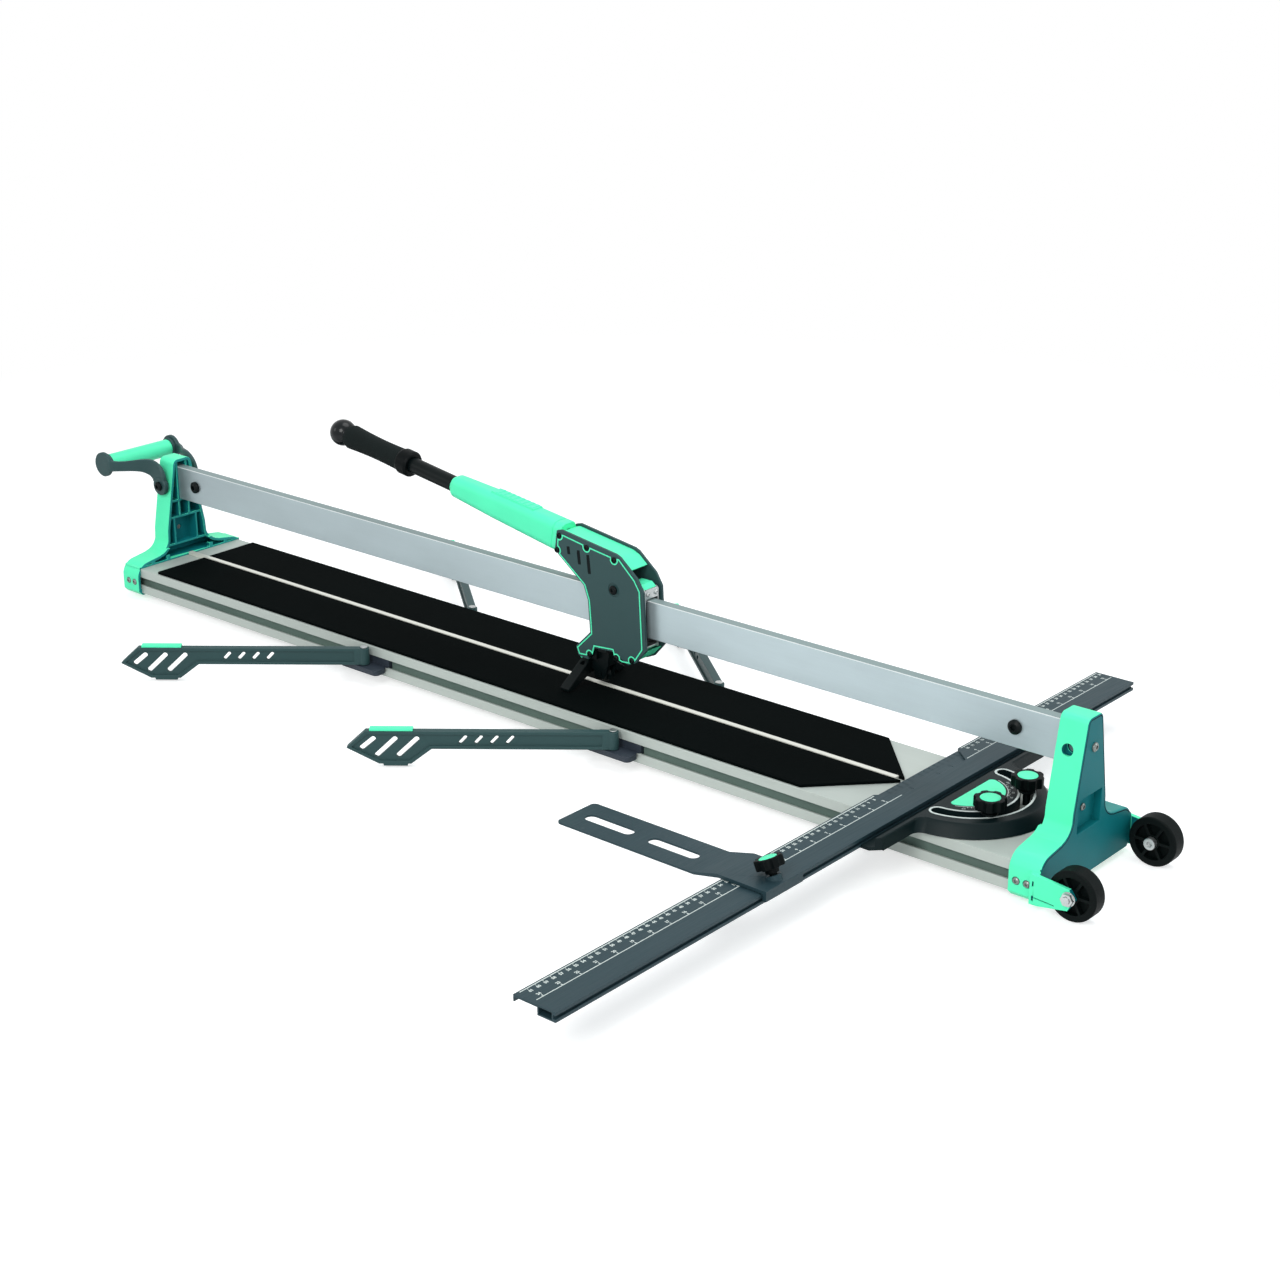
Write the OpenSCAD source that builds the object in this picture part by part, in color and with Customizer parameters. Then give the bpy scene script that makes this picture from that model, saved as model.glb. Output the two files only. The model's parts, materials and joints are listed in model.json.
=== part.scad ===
// Rail tile cutter: a long aluminium bed, a flat rail on two cast brackets, a cutting head
// with a lever, a swivelling fence with a stop, four swing-out tile supports, a carry handle
// and two transport wheels.  X runs along the bed, Y across it, Z is up, the floor is Z = 0.

/* [Bed] */
// Distance between the inner faces of the two end brackets
bed_span = 1395; // [1300:5:1500]
// Width of the bed extrusion
bed_w = 174; // [170:1:190]
// Height of the bed's top face above the floor
bed_top = 45; // [44:1:46]
// Thickness of the bed extrusion
bed_h = 35; // [34:1:36]
// Thickness of the rubber mats
mat_t = 3.5; // [2:0.5:4]
// Width of the bright breaking strip along the cut line
strip_w = 7; // [5:1:9]

/* [Rail and brackets] */
// Thickness of the rail bar
rail_t = 13; // [12:0.5:14]
// Height of the rail bar
rail_h = 46.5; // [44:0.5:48]
// Underside of the rail above the floor
rail_z = 126.5; // [124:0.5:128]
// Depth of the wheel-end bracket along the bed
right_d = 36; // [34:1:38]
// Depth of the handle-end bracket along the bed
left_d = 33; // [32:1:36]
// Height of the carry-handle pivot above the floor
pivot_z = 148; // [146:1:150]

/* [Head] */
// X of the head's pivot with the carriage at rest
head_x = 107; // [60:1:150]
// Height of the head's pivot above the floor
head_z = 179.5; // [179:0.5:181]
// Thickness of a head side plate
plate_t = 3.5; // [3:0.5:4]
// Width over the two side plates
head_w = 37; // [36:0.5:38]
// Downward slope of the lever towards the head
lever_tilt = 8.6; // [6:0.1:11]

/* [Fence] */
// X of the fence's reference edge
fence_x = 516; // [512:1:518]
// Length of the fence ruler
fence_len = 1020; // [900:5:1100]
// Height of the fence's top face above the floor
fence_top = 57; // [56.5:0.5:58]
// Radius of the protractor casting
disc_r = 95; // [92:1:98]

/* [Tile supports] */
// Reach of a support arm from its pin to its tip
arm_len = 306; // [280:2:320]
// Angle between a support arm and the bed
arm_angle = 39.5; // [30:0.5:60]
// X of the two pins at the far end
arm_x1 = -240; // [-300:5:-200]
// X of the two pins near the fence
arm_x2 = 174; // [150:1:200]

/* [Wheels] */
// Diameter of a transport wheel
wheel_d = 55; // [50:1:55]
// Width of a transport wheel
wheel_w = 19; // [16:1:20]
// X of the wheels' axle
axle_x = 769.5; // [768:0.5:772]

/* [Hidden] */
$fn = 64;
mint = "#5CE6B8";
teal = "#3A5A5E";
slate = "#46545E";
black = "#1A1C1E";
alu = "#D6D8D2";
zinc = "#B9BCBE";

bed_z = bed_top - bed_h;
mat_top = bed_top + mat_t;
rail_top = rail_z + rail_h;
rail_mid = rail_z + rail_h / 2;
bracket_in = bed_span / 2;
right_out = bracket_in + right_d;
left_out = bracket_in + left_d;
post_in = bracket_in + 3.5;
socket_wall = 8;
cheek_y = bed_w / 2 + 5.5;
pivot_x = post_in + 14;

// ---------- shared helpers ----------

// Copies its children to the mirrored side across the cut line.
module both_sides() {
  children();
  mirror([0, 1, 0]) children();
}

// A cylinder along +Y from y0 to y1 at (x, z).
module bar_y(x, z, r, y0, y1) {
  translate([x, y1, z]) rotate([90, 0, 0]) cylinder(r = r, h = y1 - y0);
}

// A cylinder along +X from x0 to x1 at (y, z).
module bar_x(y, z, r, x0, x1) {
  translate([x0, y, z]) rotate([0, 90, 0]) cylinder(r = r, h = x1 - x0);
}

// A plate of XZ outline between y0 and y1.
module plate_y(y0, y1) {
  translate([0, y1, 0]) rotate([90, 0, 0]) linear_extrude(y1 - y0) children();
}

// A solid of YZ outline between x0 and x1.
module plate_x(x0, x1) {
  translate([x0, 0, 0]) rotate([90, 0, 90]) linear_extrude(x1 - x0) children();
}

// A flat slot from point a to point b.
module slot_2d(a, b, w) {
  ang = atan2(b[1] - a[1], b[0] - a[0]);
  polygon(concat(arc_pts(b, w / 2, ang - 90, ang + 90, 12), arc_pts(a, w / 2, ang + 90, ang + 270, 12)));
}

// A rectangle with round corners, centred.
module round_rect(w, h, r) {
  square([w - 2 * r, h], center = true);
  square([w, h - 2 * r], center = true);
  for (sx = [-1, 1], sy = [-1, 1]) translate([sx * (w / 2 - r), sy * (h / 2 - r)]) circle(r = r);
}

// Points of an arc about c from angle a0 to a1.
function arc_pts(c, r, a0, a1, n = 10) =
  [for (i = [0:n]) let (a = a0 + (a1 - a0) * i / n) c + r * [cos(a), sin(a)]];

// ---------- bed ----------

slot_open = 11;
slot_lo = bed_z + 12;
slot_depth = 9.5;
lip_t = 2.8;
wall = 2.6;

bed_core = bed_w / 2 - slot_depth;

// Core of the bed: a flat box with four chambers.
module core_section() {
  chambers = 4;
  inner = 2 * (bed_core - wall);
  cell = (inner - (chambers - 1) * wall) / chambers;
  difference() {
    translate([-bed_core, bed_z]) square([2 * bed_core, bed_h]);
    for (i = [0:chambers - 1])
      translate([-inner / 2 + i * (cell + wall), bed_z + wall]) square([cell, bed_h - 2 * wall]);
  }
}

// Upper and lower bar of one side; the groove lies between them, wider behind its mouth.
module groove_section() {
  edge = bed_w / 2;
  lip = edge - lip_t;
  slot_top = slot_lo + slot_open;
  polygon([[bed_core, slot_top + 4], [lip, slot_top + 4], [lip, slot_top], [edge, slot_top],
    [edge, bed_top], [bed_core, bed_top]]);
  polygon([[bed_core, bed_z], [edge, bed_z], [edge, slot_lo], [lip, slot_lo], [lip, slot_lo - 3],
    [bed_core, slot_lo - 3]]);
}

module base_extrusion() {
  color(alu) plate_x(-left_out + socket_wall, right_out - socket_wall) core_section();
}

module groove_rails() {
  color(alu) plate_x(-left_out + socket_wall, right_out - socket_wall) {
    groove_section();
    mirror([1, 0]) groove_section();
  }
}

strip_end = fence_x - 18;

module centre_strip() {
  color("#E8EAE6") translate([-bracket_in + 0.5, -strip_w / 2, bed_top])
    cube([bracket_in + strip_end, strip_w, mat_t + 0.8]);
}

mat_left = -663;
mat_tip = fence_x - 10;
mat_w = bed_w / 2 - 2.5;
mat_point = 76;

module mat() {
  inner_y = strip_w / 2 + 0.4;
  translate([0, 0, bed_top]) linear_extrude(mat_t)
    polygon([[mat_left, inner_y], [mat_tip, inner_y], [mat_tip - mat_point, mat_w], [mat_left, mat_w]]);
}

module mats() {
  color(black) both_sides() mat();
}

foot_gap = 480;

module foot_strips() {
  color("#222426") for (i = [-1:1])
    translate([i * foot_gap - 16, -62, 0]) cube([32, 124, bed_z]);
}

// ---------- end brackets ----------

post_top = 184;
post_top_w = 15.8;
post_low_w = 33;

// Outer YZ outline of a bracket on the +Y side; foot is the height of its shoulder.
function bracket_half(inset, foot) =
  concat(
    [[0, 7 + inset], [cheek_y - 6 - inset, 7 + inset], [cheek_y - inset, 13 + inset]],
    arc_pts([cheek_y - 20, foot - 22], 20 - inset, 0, 80, 8),
    [[52, foot + 1.5 - inset]],
    arc_pts([54, foot + 23], 21 + inset, -100, -165, 8),
    [[post_low_w - inset, 86]],
    arc_pts([post_top_w - 8, post_top - 8], 8 - inset, 3, 90, 6),
    [[0, post_top - inset]]
  );

module bracket_outline(inset, foot) {
  polygon(bracket_half(inset, foot));
  mirror([1, 0]) polygon(bracket_half(inset, foot));
}

arm_y = 96.5;
axle_z = wheel_d / 2 + 0.6;
right_foot = 58;
left_foot = 54;

// Ribs inside a bracket: beside and under the rail, and across the foot.
module bracket_ribs(foot) {
  rib = 3;
  for (s = [-1, 1]) translate([s * (rail_t / 2 + 0.2 + rib / 2) - rib / 2, 101]) square([rib, 80]);
  translate([-30, rail_z - rib]) square([60, rib]);
  translate([-34, 100]) square([68, rib]);
  translate([-36, 62]) square([72, rib]);
  for (s = [-1, 1]) translate([s * 19 - rib / 2, 62]) square([rib, 40]);
  for (s = [-1, 1]) translate([s * 62 - rib / 2, bed_top]) square([rib, foot - bed_top]);
}

recess_depth = 9;

// Bracket at the +X end: closed outside, open and ribbed towards the bed.
module bracket(out, foot) {
  back_wall = 5;
  difference() {
    union() {
      plate_x(out - back_wall, out) bracket_outline(0, foot);
      plate_x(post_in, out) difference() {
        bracket_outline(0, foot);
        bracket_outline(4, foot);
      }
      plate_x(bracket_in, post_in + 1) difference() {
        bracket_outline(0, foot);
        bracket_outline(4, foot);
        translate([-bed_w, foot + 8]) square([2 * bed_w, 200]);
      }
      plate_x(post_in + 2, out) intersection() {
        bracket_outline(1, foot);
        bracket_ribs(foot);
      }
      // bar along the bed with four pads below the shoulders
      plate_x(bracket_in, out - 1) translate([-cheek_y + 4, bed_top]) square([2 * cheek_y - 8, 2.4]);
      for (y = [-64, -38, 38, 64])
        plate_x(bracket_in, post_in + 3) translate([y - 3, bed_top + 1]) square([6, foot - bed_top - 2]);
      // box round the recess
      translate([out - recess_depth - 3, -26, 57]) cube([recess_depth + 2, 52, 43]);
    }
    // socket for the end of the bed
    plate_x(bracket_in - 1, out - socket_wall) translate([-bed_w / 2 - 0.01, bed_z])
      square([bed_w + 0.02, bed_h]);
    // cross hole through the post's two side walls
    bar_y(pivot_x, pivot_z, 6.5, -40, 40);
    // recess in the outer face
    translate([out - recess_depth, -23, 60]) cube([recess_depth + 1, 46, 37]);
    // screw holes through the outer wall
    for (z = [rail_mid, 81]) bar_x(0, z, 3.2, out - 16, out + 1);
    // seats of the cheek screws
    both_sides() for (x = [cheek_screw_1, cheek_screw_2]) {
      bar_y(x, cheek_screw_z, 4.4, cheek_y - 1.6, cheek_y + 1);
      bar_y(x, cheek_screw_z, 2.2, bed_w / 2 - 5, cheek_y);
    }
  }
}

cheek_screw_1 = bracket_in + 9;
cheek_screw_2 = bracket_in + 21.5;
cheek_screw_z = bed_z + 16;

// Tapered arm that carries one wheel.
module wheel_arm() {
  root = right_out - 9;
  tip = axle_x + 7;
  difference() {
    plate_y(cheek_y - 1, arm_y) polygon([[root, 8], [root, 42], [tip - 7, 37.5], [tip, 28],
      [tip - 8, 14], [right_out, 8]]);
    bar_y(axle_x, axle_z, 4.05, cheek_y - 2, arm_y + 1);
    translate([root + 3, arm_y - 1, 28]) cube([1.5, 2, 6]);
    translate([root + 3, arm_y - 1, 12]) cube([1.5, 2, 6]);
    translate([root + 5, arm_y - 0.8, 16]) rotate([0, 4, 0]) cube([24, 2, 0.9]);
  }
}

module bracket_right() {
  color(mint) {
    bracket(right_out, right_foot);
    both_sides() wheel_arm();
  }
}

module bracket_left() {
  color(mint) mirror([1, 0, 0]) bracket(left_out, left_foot);
}

// A pan-head screw pointing down -Z from the origin, with a hex socket.
module pan_screw(head_d, head_h, shank_d, shank_h) {
  difference() {
    union() {
      cylinder(d = head_d, h = head_h * 0.55);
      translate([0, 0, head_h * 0.55]) cylinder(d1 = head_d, d2 = head_d * 0.62, h = head_h * 0.45, $fn = 48);
      translate([0, 0, -shank_h]) cylinder(d = shank_d, h = shank_h + 0.1);
    }
    translate([0, 0, head_h * 0.45]) cylinder(d = head_d * 0.45, h = head_h, $fn = 6);
  }
}

module end_screws(out) {
  both_sides() for (x = [cheek_screw_1, cheek_screw_2])
    translate([x, cheek_y - 1.6, cheek_screw_z]) rotate([-90, 0, 0]) pan_screw(8, 3, 4.2, 8);
  translate([out, 0, rail_mid]) rotate([0, 90, 0]) pan_screw(10, 3.2, 6.2, end_wall - 0.1);
  translate([out - recess_depth, 0, 81]) rotate([0, 90, 0]) pan_screw(8, 2.6, 6.2, 2);
}

module bracket_screws() {
  color(zinc) {
    end_screws(right_out);
    mirror([1, 0, 0]) end_screws(left_out);
  }
}

// ---------- rail ----------

end_wall = 5.2;
stop_xs = [-667, 645];
stop_bore = 4;

module rail() {
  color("#A9B6BA") difference() {
    translate([-left_out + end_wall, -rail_t / 2, rail_z])
      cube([left_out + right_out - 2 * end_wall, rail_t, rail_h]);
    for (x = stop_xs) bar_y(x, rail_mid, stop_bore, -rail_t, rail_t);
  }
}

module rail_stop_bolts() {
  color(black) for (x = stop_xs) {
    bar_y(x, rail_mid, stop_bore - 0.02, -rail_t / 2, rail_t / 2);
    both_sides() translate([x, rail_t / 2, rail_mid]) rotate([-90, 0, 0]) pan_screw(16, 5, 6, 0.1);
  }
}

// ---------- transport wheels ----------

axle_r = 4;
wheel_y = cheek_y - 1.6 - wheel_w;

module wheel() {
  hub_r = 8;
  web = 5;
  spokes = 6;
  rim_in = wheel_d / 2 - 7.5;
  edge = 2;
  translate([axle_x, wheel_y, axle_z]) rotate([-90, 0, 0]) difference() {
    rotate_extrude($fn = 96) polygon(concat(
      [[axle_r + 0.06, 0], [wheel_d / 2 - edge, 0]],
      arc_pts([wheel_d / 2 - edge, edge], edge, -90, 0, 5),
      arc_pts([wheel_d / 2 - edge, wheel_w - edge], edge, 0, 90, 5),
      [[axle_r + 0.06, wheel_w]]));
    for (side = [0, 1]) translate([0, 0, side ? wheel_w / 2 + web / 2 : -1])
      difference() {
        cylinder(r = rim_in, h = (wheel_w - web) / 2 + 1);
        translate([0, 0, -1]) cylinder(r = hub_r, h = wheel_w);
        for (i = [0:spokes - 1]) rotate(i * 360 / spokes) translate([0, -1.5, -1])
          cube([rim_in + 1, 3, wheel_w]);
      }
  }
}

module wheel_back() {
  color(black) wheel();
}

module wheel_front() {
  color(black) mirror([0, 1, 0]) wheel();
}

module axle_nut() {
  difference() {
    translate([axle_x, arm_y + 0.4, axle_z]) rotate([-90, 0, 0]) union() {
      cylinder(d = 14.4, h = 5, $fn = 6);
      cylinder(d = 15.5, h = 0.8);
    }
    bar_y(axle_x, axle_z, axle_r + 0.02, arm_y, arm_y + 9);
  }
}

module axle_bolts() {
  color(zinc) both_sides() {
    bar_y(axle_x, axle_z, axle_r, wheel_y - 0.6, arm_y + 7);
    translate([axle_x, wheel_y - 0.6, axle_z]) rotate([90, 0, 0]) difference() {
      cylinder(d = 13, h = 6);
      translate([0, 0, 2.5]) cylinder(d = 6.6, h = 6, $fn = 6);
    }
    axle_nut();
  }
}

// ---------- carry handle ----------

grip_x = -(left_out + 68);
grip_z = 170;
grip_r = 12;
grip_end = 56;
boss_y = 25;
boss_r = 13;

// One J-shaped arm: boss at the pivot, wide elbow, then out to the end cap.
module handle_arm() {
  elbow_x = -(post_in + 23);
  heel_x = -(post_in + 39);
  neck_x = grip_x + 20;
  difference() {
    union() {
      hull() {
        bar_y(-pivot_x, pivot_z, boss_r, boss_y + 1, boss_y + 6, $fn = 32);
        bar_y(elbow_x, 172, 7, boss_y, boss_y + 6, $fn = 32);
        bar_y(heel_x, 172, 6, boss_y + 10, boss_y + 16, $fn = 32);
      }
      hull() {
        bar_y(elbow_x, 172, 7, boss_y, boss_y + 6, $fn = 32);
        bar_y(heel_x, 172, 6, boss_y + 10, boss_y + 16, $fn = 32);
        bar_y(neck_x, 171, 7, grip_end, grip_end + 6, $fn = 32);
      }
      hull() {
        bar_y(neck_x, 171, 7, grip_end, grip_end + 6, $fn = 32);
        bar_y(grip_x + 5, grip_z, 12, grip_end, grip_end + 6, $fn = 32);
      }
      bar_y(grip_x, grip_z, 17, grip_end, grip_end + 6);
      bar_y(grip_x, grip_z, grip_r + 2, grip_end - 4, grip_end + 1);
      bar_y(-pivot_x, pivot_z, boss_r, boss_y, boss_y + 6.5);
    }
    bar_y(-pivot_x, pivot_z, 4.06, boss_y - 2, boss_y + 12);
    bar_y(-pivot_x, pivot_z, 7.2, boss_y + 6.5, boss_y + 20);
  }
}

module handle_arms() {
  color(teal) both_sides() handle_arm();
}

module carry_grip() {
  color(mint) bar_y(grip_x, grip_z, grip_r, -grip_end + 4, grip_end - 4);
}

module handle_bolts() {
  color(black) both_sides() {
    bar_y(-pivot_x, pivot_z, 4, 18.5, boss_y + 7);
    bar_y(-pivot_x, pivot_z, 6.46, 18.5, boss_y - 0.6);
    translate([-pivot_x, boss_y + 7, pivot_z]) rotate([-90, 0, 0]) pan_screw(13, 4, 4, 0.1);
  }
}

// ---------- tile supports ----------

arm_t = 10;
arm_top = 45.2;
arm_low = 23.6;
barrel_r = 6.5;
pin_r = 3;
pin_y = bed_w / 2 + 10;

// Side outline of an arm: local X is the reach from the pin.
module arm_outline() {
  polygon([[0, arm_low], [arm_len - 98, arm_low], [arm_len - 74, 5], [arm_len - 70, 5],
    [arm_len - 70, 2.5], [arm_len - 42, 2.5], [arm_len - 42, 5], [arm_len - 37, 5],
    [arm_len, arm_low + 1], [arm_len - 22, arm_top], [0, arm_top]]);
}

// The same outline pulled in to leave the rim.
module arm_pocket() {
  rim = 4;
  polygon([[barrel_r + 6, arm_low + rim], [arm_len - 96, arm_low + rim], [arm_len - 72, 9],
    [arm_len - 39, 9], [arm_len - 6, arm_low + 2], [arm_len - 24, arm_top - rim],
    [barrel_r + 6, arm_top - rim]]);
}

module arm_slots() {
  big = 6;
  small = 4;
  slot_2d([arm_len - 18, 24], [arm_len - 31, 35], big);
  slot_2d([arm_len - 35, 15], [arm_len - 56, 35], big);
  slot_2d([arm_len - 60, 15], [arm_len - 81, 35], big);
  for (i = [0:3]) slot_2d([arm_len - 131 - 18 * i, 31], [arm_len - 137 - 18 * i, 37.5], small);
}

// One arm along local +X from its pin at the origin.
module arm_body() {
  web = 5;
  difference() {
    union() {
      plate_y(-arm_t / 2, arm_t / 2) arm_outline();
      translate([0, 0, arm_low]) cylinder(r = barrel_r, h = arm_top - arm_low);
    }
    plate_y(web / 2, arm_t) arm_pocket();
    plate_y(-arm_t, -web / 2) arm_pocket();
    plate_y(-arm_t, arm_t) arm_slots();
    translate([0, 0, arm_low - 1]) cylinder(r = pin_r + 0.06, h = arm_top);
    // round the end about the pin
    translate([-barrel_r - 5, -arm_t, 0]) cube([5, 2 * arm_t, 60]);
    difference() {
      translate([-barrel_r - 1, -arm_t, 0]) cube([barrel_r + 1, 2 * arm_t, 60]);
      translate([0, 0, -1]) cylinder(r = barrel_r, h = 62);
    }
  }
}

module arm_pad_body() {
  translate([arm_len - 77, -arm_t / 2 + 0.5, arm_top]) cube([50, arm_t - 1, mat_top - arm_top]);
}

// Places a support part: sx is its pin's X, side is -1 at the front and 1 at the back.
module at_arm(sx, side) {
  translate([sx, side * pin_y, 0]) rotate(side > 0 ? 180 - arm_angle : 180 + arm_angle) children();
}

module support_arm_fl() { color(teal) at_arm(arm_x1, -1) arm_body(); }
module support_arm_fr() { color(teal) at_arm(arm_x2, -1) arm_body(); }
module support_arm_bl() { color(teal) at_arm(arm_x1, 1) arm_body(); }
module support_arm_br() { color(teal) at_arm(arm_x2, 1) arm_body(); }
module arm_pad_fl() { color(mint) at_arm(arm_x1, -1) arm_pad_body(); }
module arm_pad_fr() { color(mint) at_arm(arm_x2, -1) arm_pad_body(); }
module arm_pad_bl() { color(mint) at_arm(arm_x1, 1) arm_pad_body(); }
module arm_pad_br() { color(mint) at_arm(arm_x2, 1) arm_pad_body(); }

// Block that clamps in the side groove and carries a pin (drawn for the back side).
module arm_block() {
  face = bed_w / 2;
  plate_low = 16;
  plate_top = arm_low - 0.6;
  difference() {
    union() {
      translate([-3, face + 10, plate_low]) linear_extrude(plate_top - plate_low) round_rect(66, 19.4, 6);
      translate([-33, face + 0.3, plate_low]) cube([60, 8, plate_top - plate_low]);
      translate([-30, face - lip_t - 0.5, slot_lo + 0.3]) cube([60, lip_t + 1, plate_top - slot_lo - 0.3]);
      translate([-30, face - slot_depth + 0.3, slot_lo - 2.7])
        cube([60, slot_depth - lip_t - 0.6, slot_open + 6]);
    }
    translate([0, pin_y, 0]) cylinder(r = pin_r, h = 60);
  }
}

module at_block(sx, side) {
  translate([sx, 0, 0]) mirror([0, side < 0 ? 1 : 0, 0]) children();
}

module arm_blocks() {
  color("#3B424C") for (sx = [arm_x1, arm_x2], side = [-1, 1]) at_block(sx, side) arm_block();
}

module arm_pins() {
  color(zinc) for (sx = [arm_x1, arm_x2], side = [-1, 1]) at_block(sx, side) {
    translate([0, pin_y, 16]) cylinder(r = pin_r, h = arm_top + 0.9 - 16);
    translate([0, pin_y, arm_top + 0.4]) cylinder(r = pin_r + 1.6, h = 1.2);
  }
}

// ---------- carriage ----------

frame_l = head_x - 30;
frame_r = head_x + 43;
frame_y = 10.5;
frame_t = 2;
frame_low = 112;
frame_top = 187;
roller_r = 8;
roller_z = rail_top + roller_r + 0.25;
roller_xl = head_x - 19;
roller_xr = head_x + 29;
roller_pin_r = 2.5;

module frame_outline() {
  polygon([[frame_l, frame_low], [frame_r, frame_low], [frame_r, frame_top - 3],
    [frame_r - 3, frame_top], [frame_l + 4, frame_top], [frame_l, frame_top - 4]]);
}

module frame_plates() {
  color(zinc) difference() {
    union() {
      both_sides() plate_y(frame_y, frame_y + frame_t) frame_outline();
      translate([frame_l + 2, -frame_y, frame_low]) cube([frame_r - frame_l - 4, 2 * frame_y, 3]);
      translate([frame_r - 2, -frame_y, rail_top + 1.5]) cube([2, 2 * frame_y, 12]);
      translate([frame_l, -frame_y, rail_top + 1.5]) cube([2, 2 * frame_y, 9]);
    }
    bar_y(head_x, head_z, 4.04, -20, 20);
    for (x = [roller_xl, roller_xr]) bar_y(x, roller_z, roller_pin_r - 0.01, -20, 20);
    for (s = [-1, 1]) bar_x(s * 7, rail_top + 7.5, 1.6, frame_r - 4, frame_r + 1);
  }
}

module guide_block() {
  color(mint) difference() {
    plate_y(-10.4, 10.4) polygon([[roller_xr - roller_r - 2, frame_top - 3],
      [roller_xr - roller_r - 2, 191.2], [frame_r - 8, 191.2], [frame_r - 2.1, frame_top - 1],
      [frame_r - 2.1, frame_top - 3]]);
    bar_y(roller_xr, roller_z, roller_r + 0.6, -7, 7);
    translate([roller_xr - roller_r - 3, -7, frame_top - 4]) cube([2 * roller_r, 14, 4]);
  }
}

module guide_pads() {
  pad_gap = 0.4;
  color(black) both_sides() for (x = [frame_l + 2, frame_r - 26])
    translate([x, rail_t / 2 + pad_gap, rail_z - 6]) cube([24, frame_y - rail_t / 2 - pad_gap, rail_h + 3]);
}

module roller_pins() {
  color(zinc) {
    for (x = [roller_xl, roller_xr]) bar_y(x, roller_z, roller_pin_r, -frame_y - frame_t, frame_y + frame_t);
    for (s = [-1, 1]) translate([frame_r, s * 7, rail_top + 7.5]) rotate([0, 90, 0]) pan_screw(6, 2, 3.1, 2);
  }
}

module roller(x) {
  color(zinc) difference() {
    bar_y(x, roller_z, roller_r, -6, 6);
    bar_y(x, roller_z, roller_pin_r + 0.05, -7, 7);
  }
}

module roller_left() { roller(roller_xl); }
module roller_right() { roller(roller_xr); }

module head_pivot_bolt() {
  color(black) {
    bar_y(head_x, head_z, 4, -head_w / 2 - 0.3, head_w / 2 + 0.3);
    both_sides() translate([head_x, head_w / 2 + 0.3, head_z]) rotate([-90, 0, 0]) pan_screw(11, 2.6, 4, 0.1);
  }
}

// ---------- head ----------

// Corner points of a side plate, relative to the head's pivot, clockwise from the lever side.
plate_pts = [[-92, 31], [-88.5, 54.5], [-80.5, 56.5], [4, 44.5], [10, 42], [36, 21], [45, 6.5],
  [49.5, -65], [34, -83], [22, -88.5], [-1, -77.5], [-31, -80], [-40.5, -97], [-56, -95],
  [-60, -84], [-37.5, -61.5], [-38.5, -46.5], [-40.5, -21.5], [-47, -4.5], [-87, 25.5]];

// Screws that join the plates: along the lever and around the foot.
screw_pts = [[-84.5, 49], [-88, 30.5], [-41.5, 43], [1, 37], [-38, -89.5], [4, -84], [28, -81.5]];

module head_plate() {
  difference() {
    plate_y(head_w / 2 - plate_t, head_w / 2) translate([head_x, head_z]) difference() {
      polygon(plate_pts);
      slot_2d([-71.6, 36], [-70.8, 31], 2.6);
      slot_2d([-55.6, 33.5], [-54.4, 22.5], 2.6);
      slot_2d([-40.4, 30], [-38.8, 14], 2.6);
      for (p = screw_pts) translate(p) circle(d = 3.6);
    }
    // bore and shallow round seat of the pivot bolt
    bar_y(head_x, head_z, 4.06, 0, 40);
    bar_y(head_x, head_z, 8, head_w / 2 - 0.8, 40);
  }
}

module head_plate_back() { color(teal) head_plate(); }
module head_plate_front() { color(teal) mirror([0, 1, 0]) head_plate(); }

core_y = head_w / 2 - plate_t - 0.1;

// Cap between the plates: a curved roof that closes the head from above.
module lever_block() {
  color(mint) difference() {
    plate_y(-core_y, core_y) translate([head_x, head_z]) polygon([[-90, 29], [-86.6, 52],
      [-80, 53.5], [2, 42], [12, 38], [24, 28.2], [19.5, 25.2], [8, 33], [-50, 41], [-60, 24],
      [-89, 25]]);
    for (p = [screw_pts[0], screw_pts[1], screw_pts[2], screw_pts[3]])
      bar_y(head_x + p[0], head_z + p[1], 1.8, -40, 40);
    lever_tube_bore();
  }
}

module lower_core() {
  color(mint) difference() {
    plate_y(-core_y, core_y) translate([head_x, head_z]) polygon([[0, -77], [22, -86], [34, -80.5],
      [46, -67.5], [30, -74.8], [1, -75.5]]);
    for (p = [screw_pts[5], screw_pts[6]]) bar_y(head_x + p[0], head_z + p[1], 1.8, -40, 40);
  }
}

module plate_screws() {
  color("#2A2C2E") for (p = screw_pts) {
    bar_y(head_x + p[0], head_z + p[1], 1.75, -head_w / 2, head_w / 2);
    both_sides() translate([head_x + p[0], head_w / 2, head_z + p[1]]) rotate([-90, 0, 0])
      pan_screw(7, 2.2, 3, 0.1);
  }
}

lever_z0 = 224.9;
sleeve_in = -19;
tube_in = -34;
sleeve_out = 168;
tube_r = 10;
grip_in = 262;
grip_out = 358;
ball_at = 371;

// Places its children with +Z along the lever, away from the head.
module on_lever() {
  translate([0, 0, lever_z0]) rotate([0, lever_tilt - 90, 0]) children();
}

module lever_tube_bore() {
  on_lever() translate([0, 0, tube_in]) cylinder(r = tube_r, h = 60);
}

// A rounded slice of the sleeve: x is across the lever's height, y across its width.
module sleeve_slice(at, hgt, wid, drop) {
  translate([-drop, 0, at]) linear_extrude(0.5) round_rect(hgt, wid, 8, $fn = 32);
}

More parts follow.
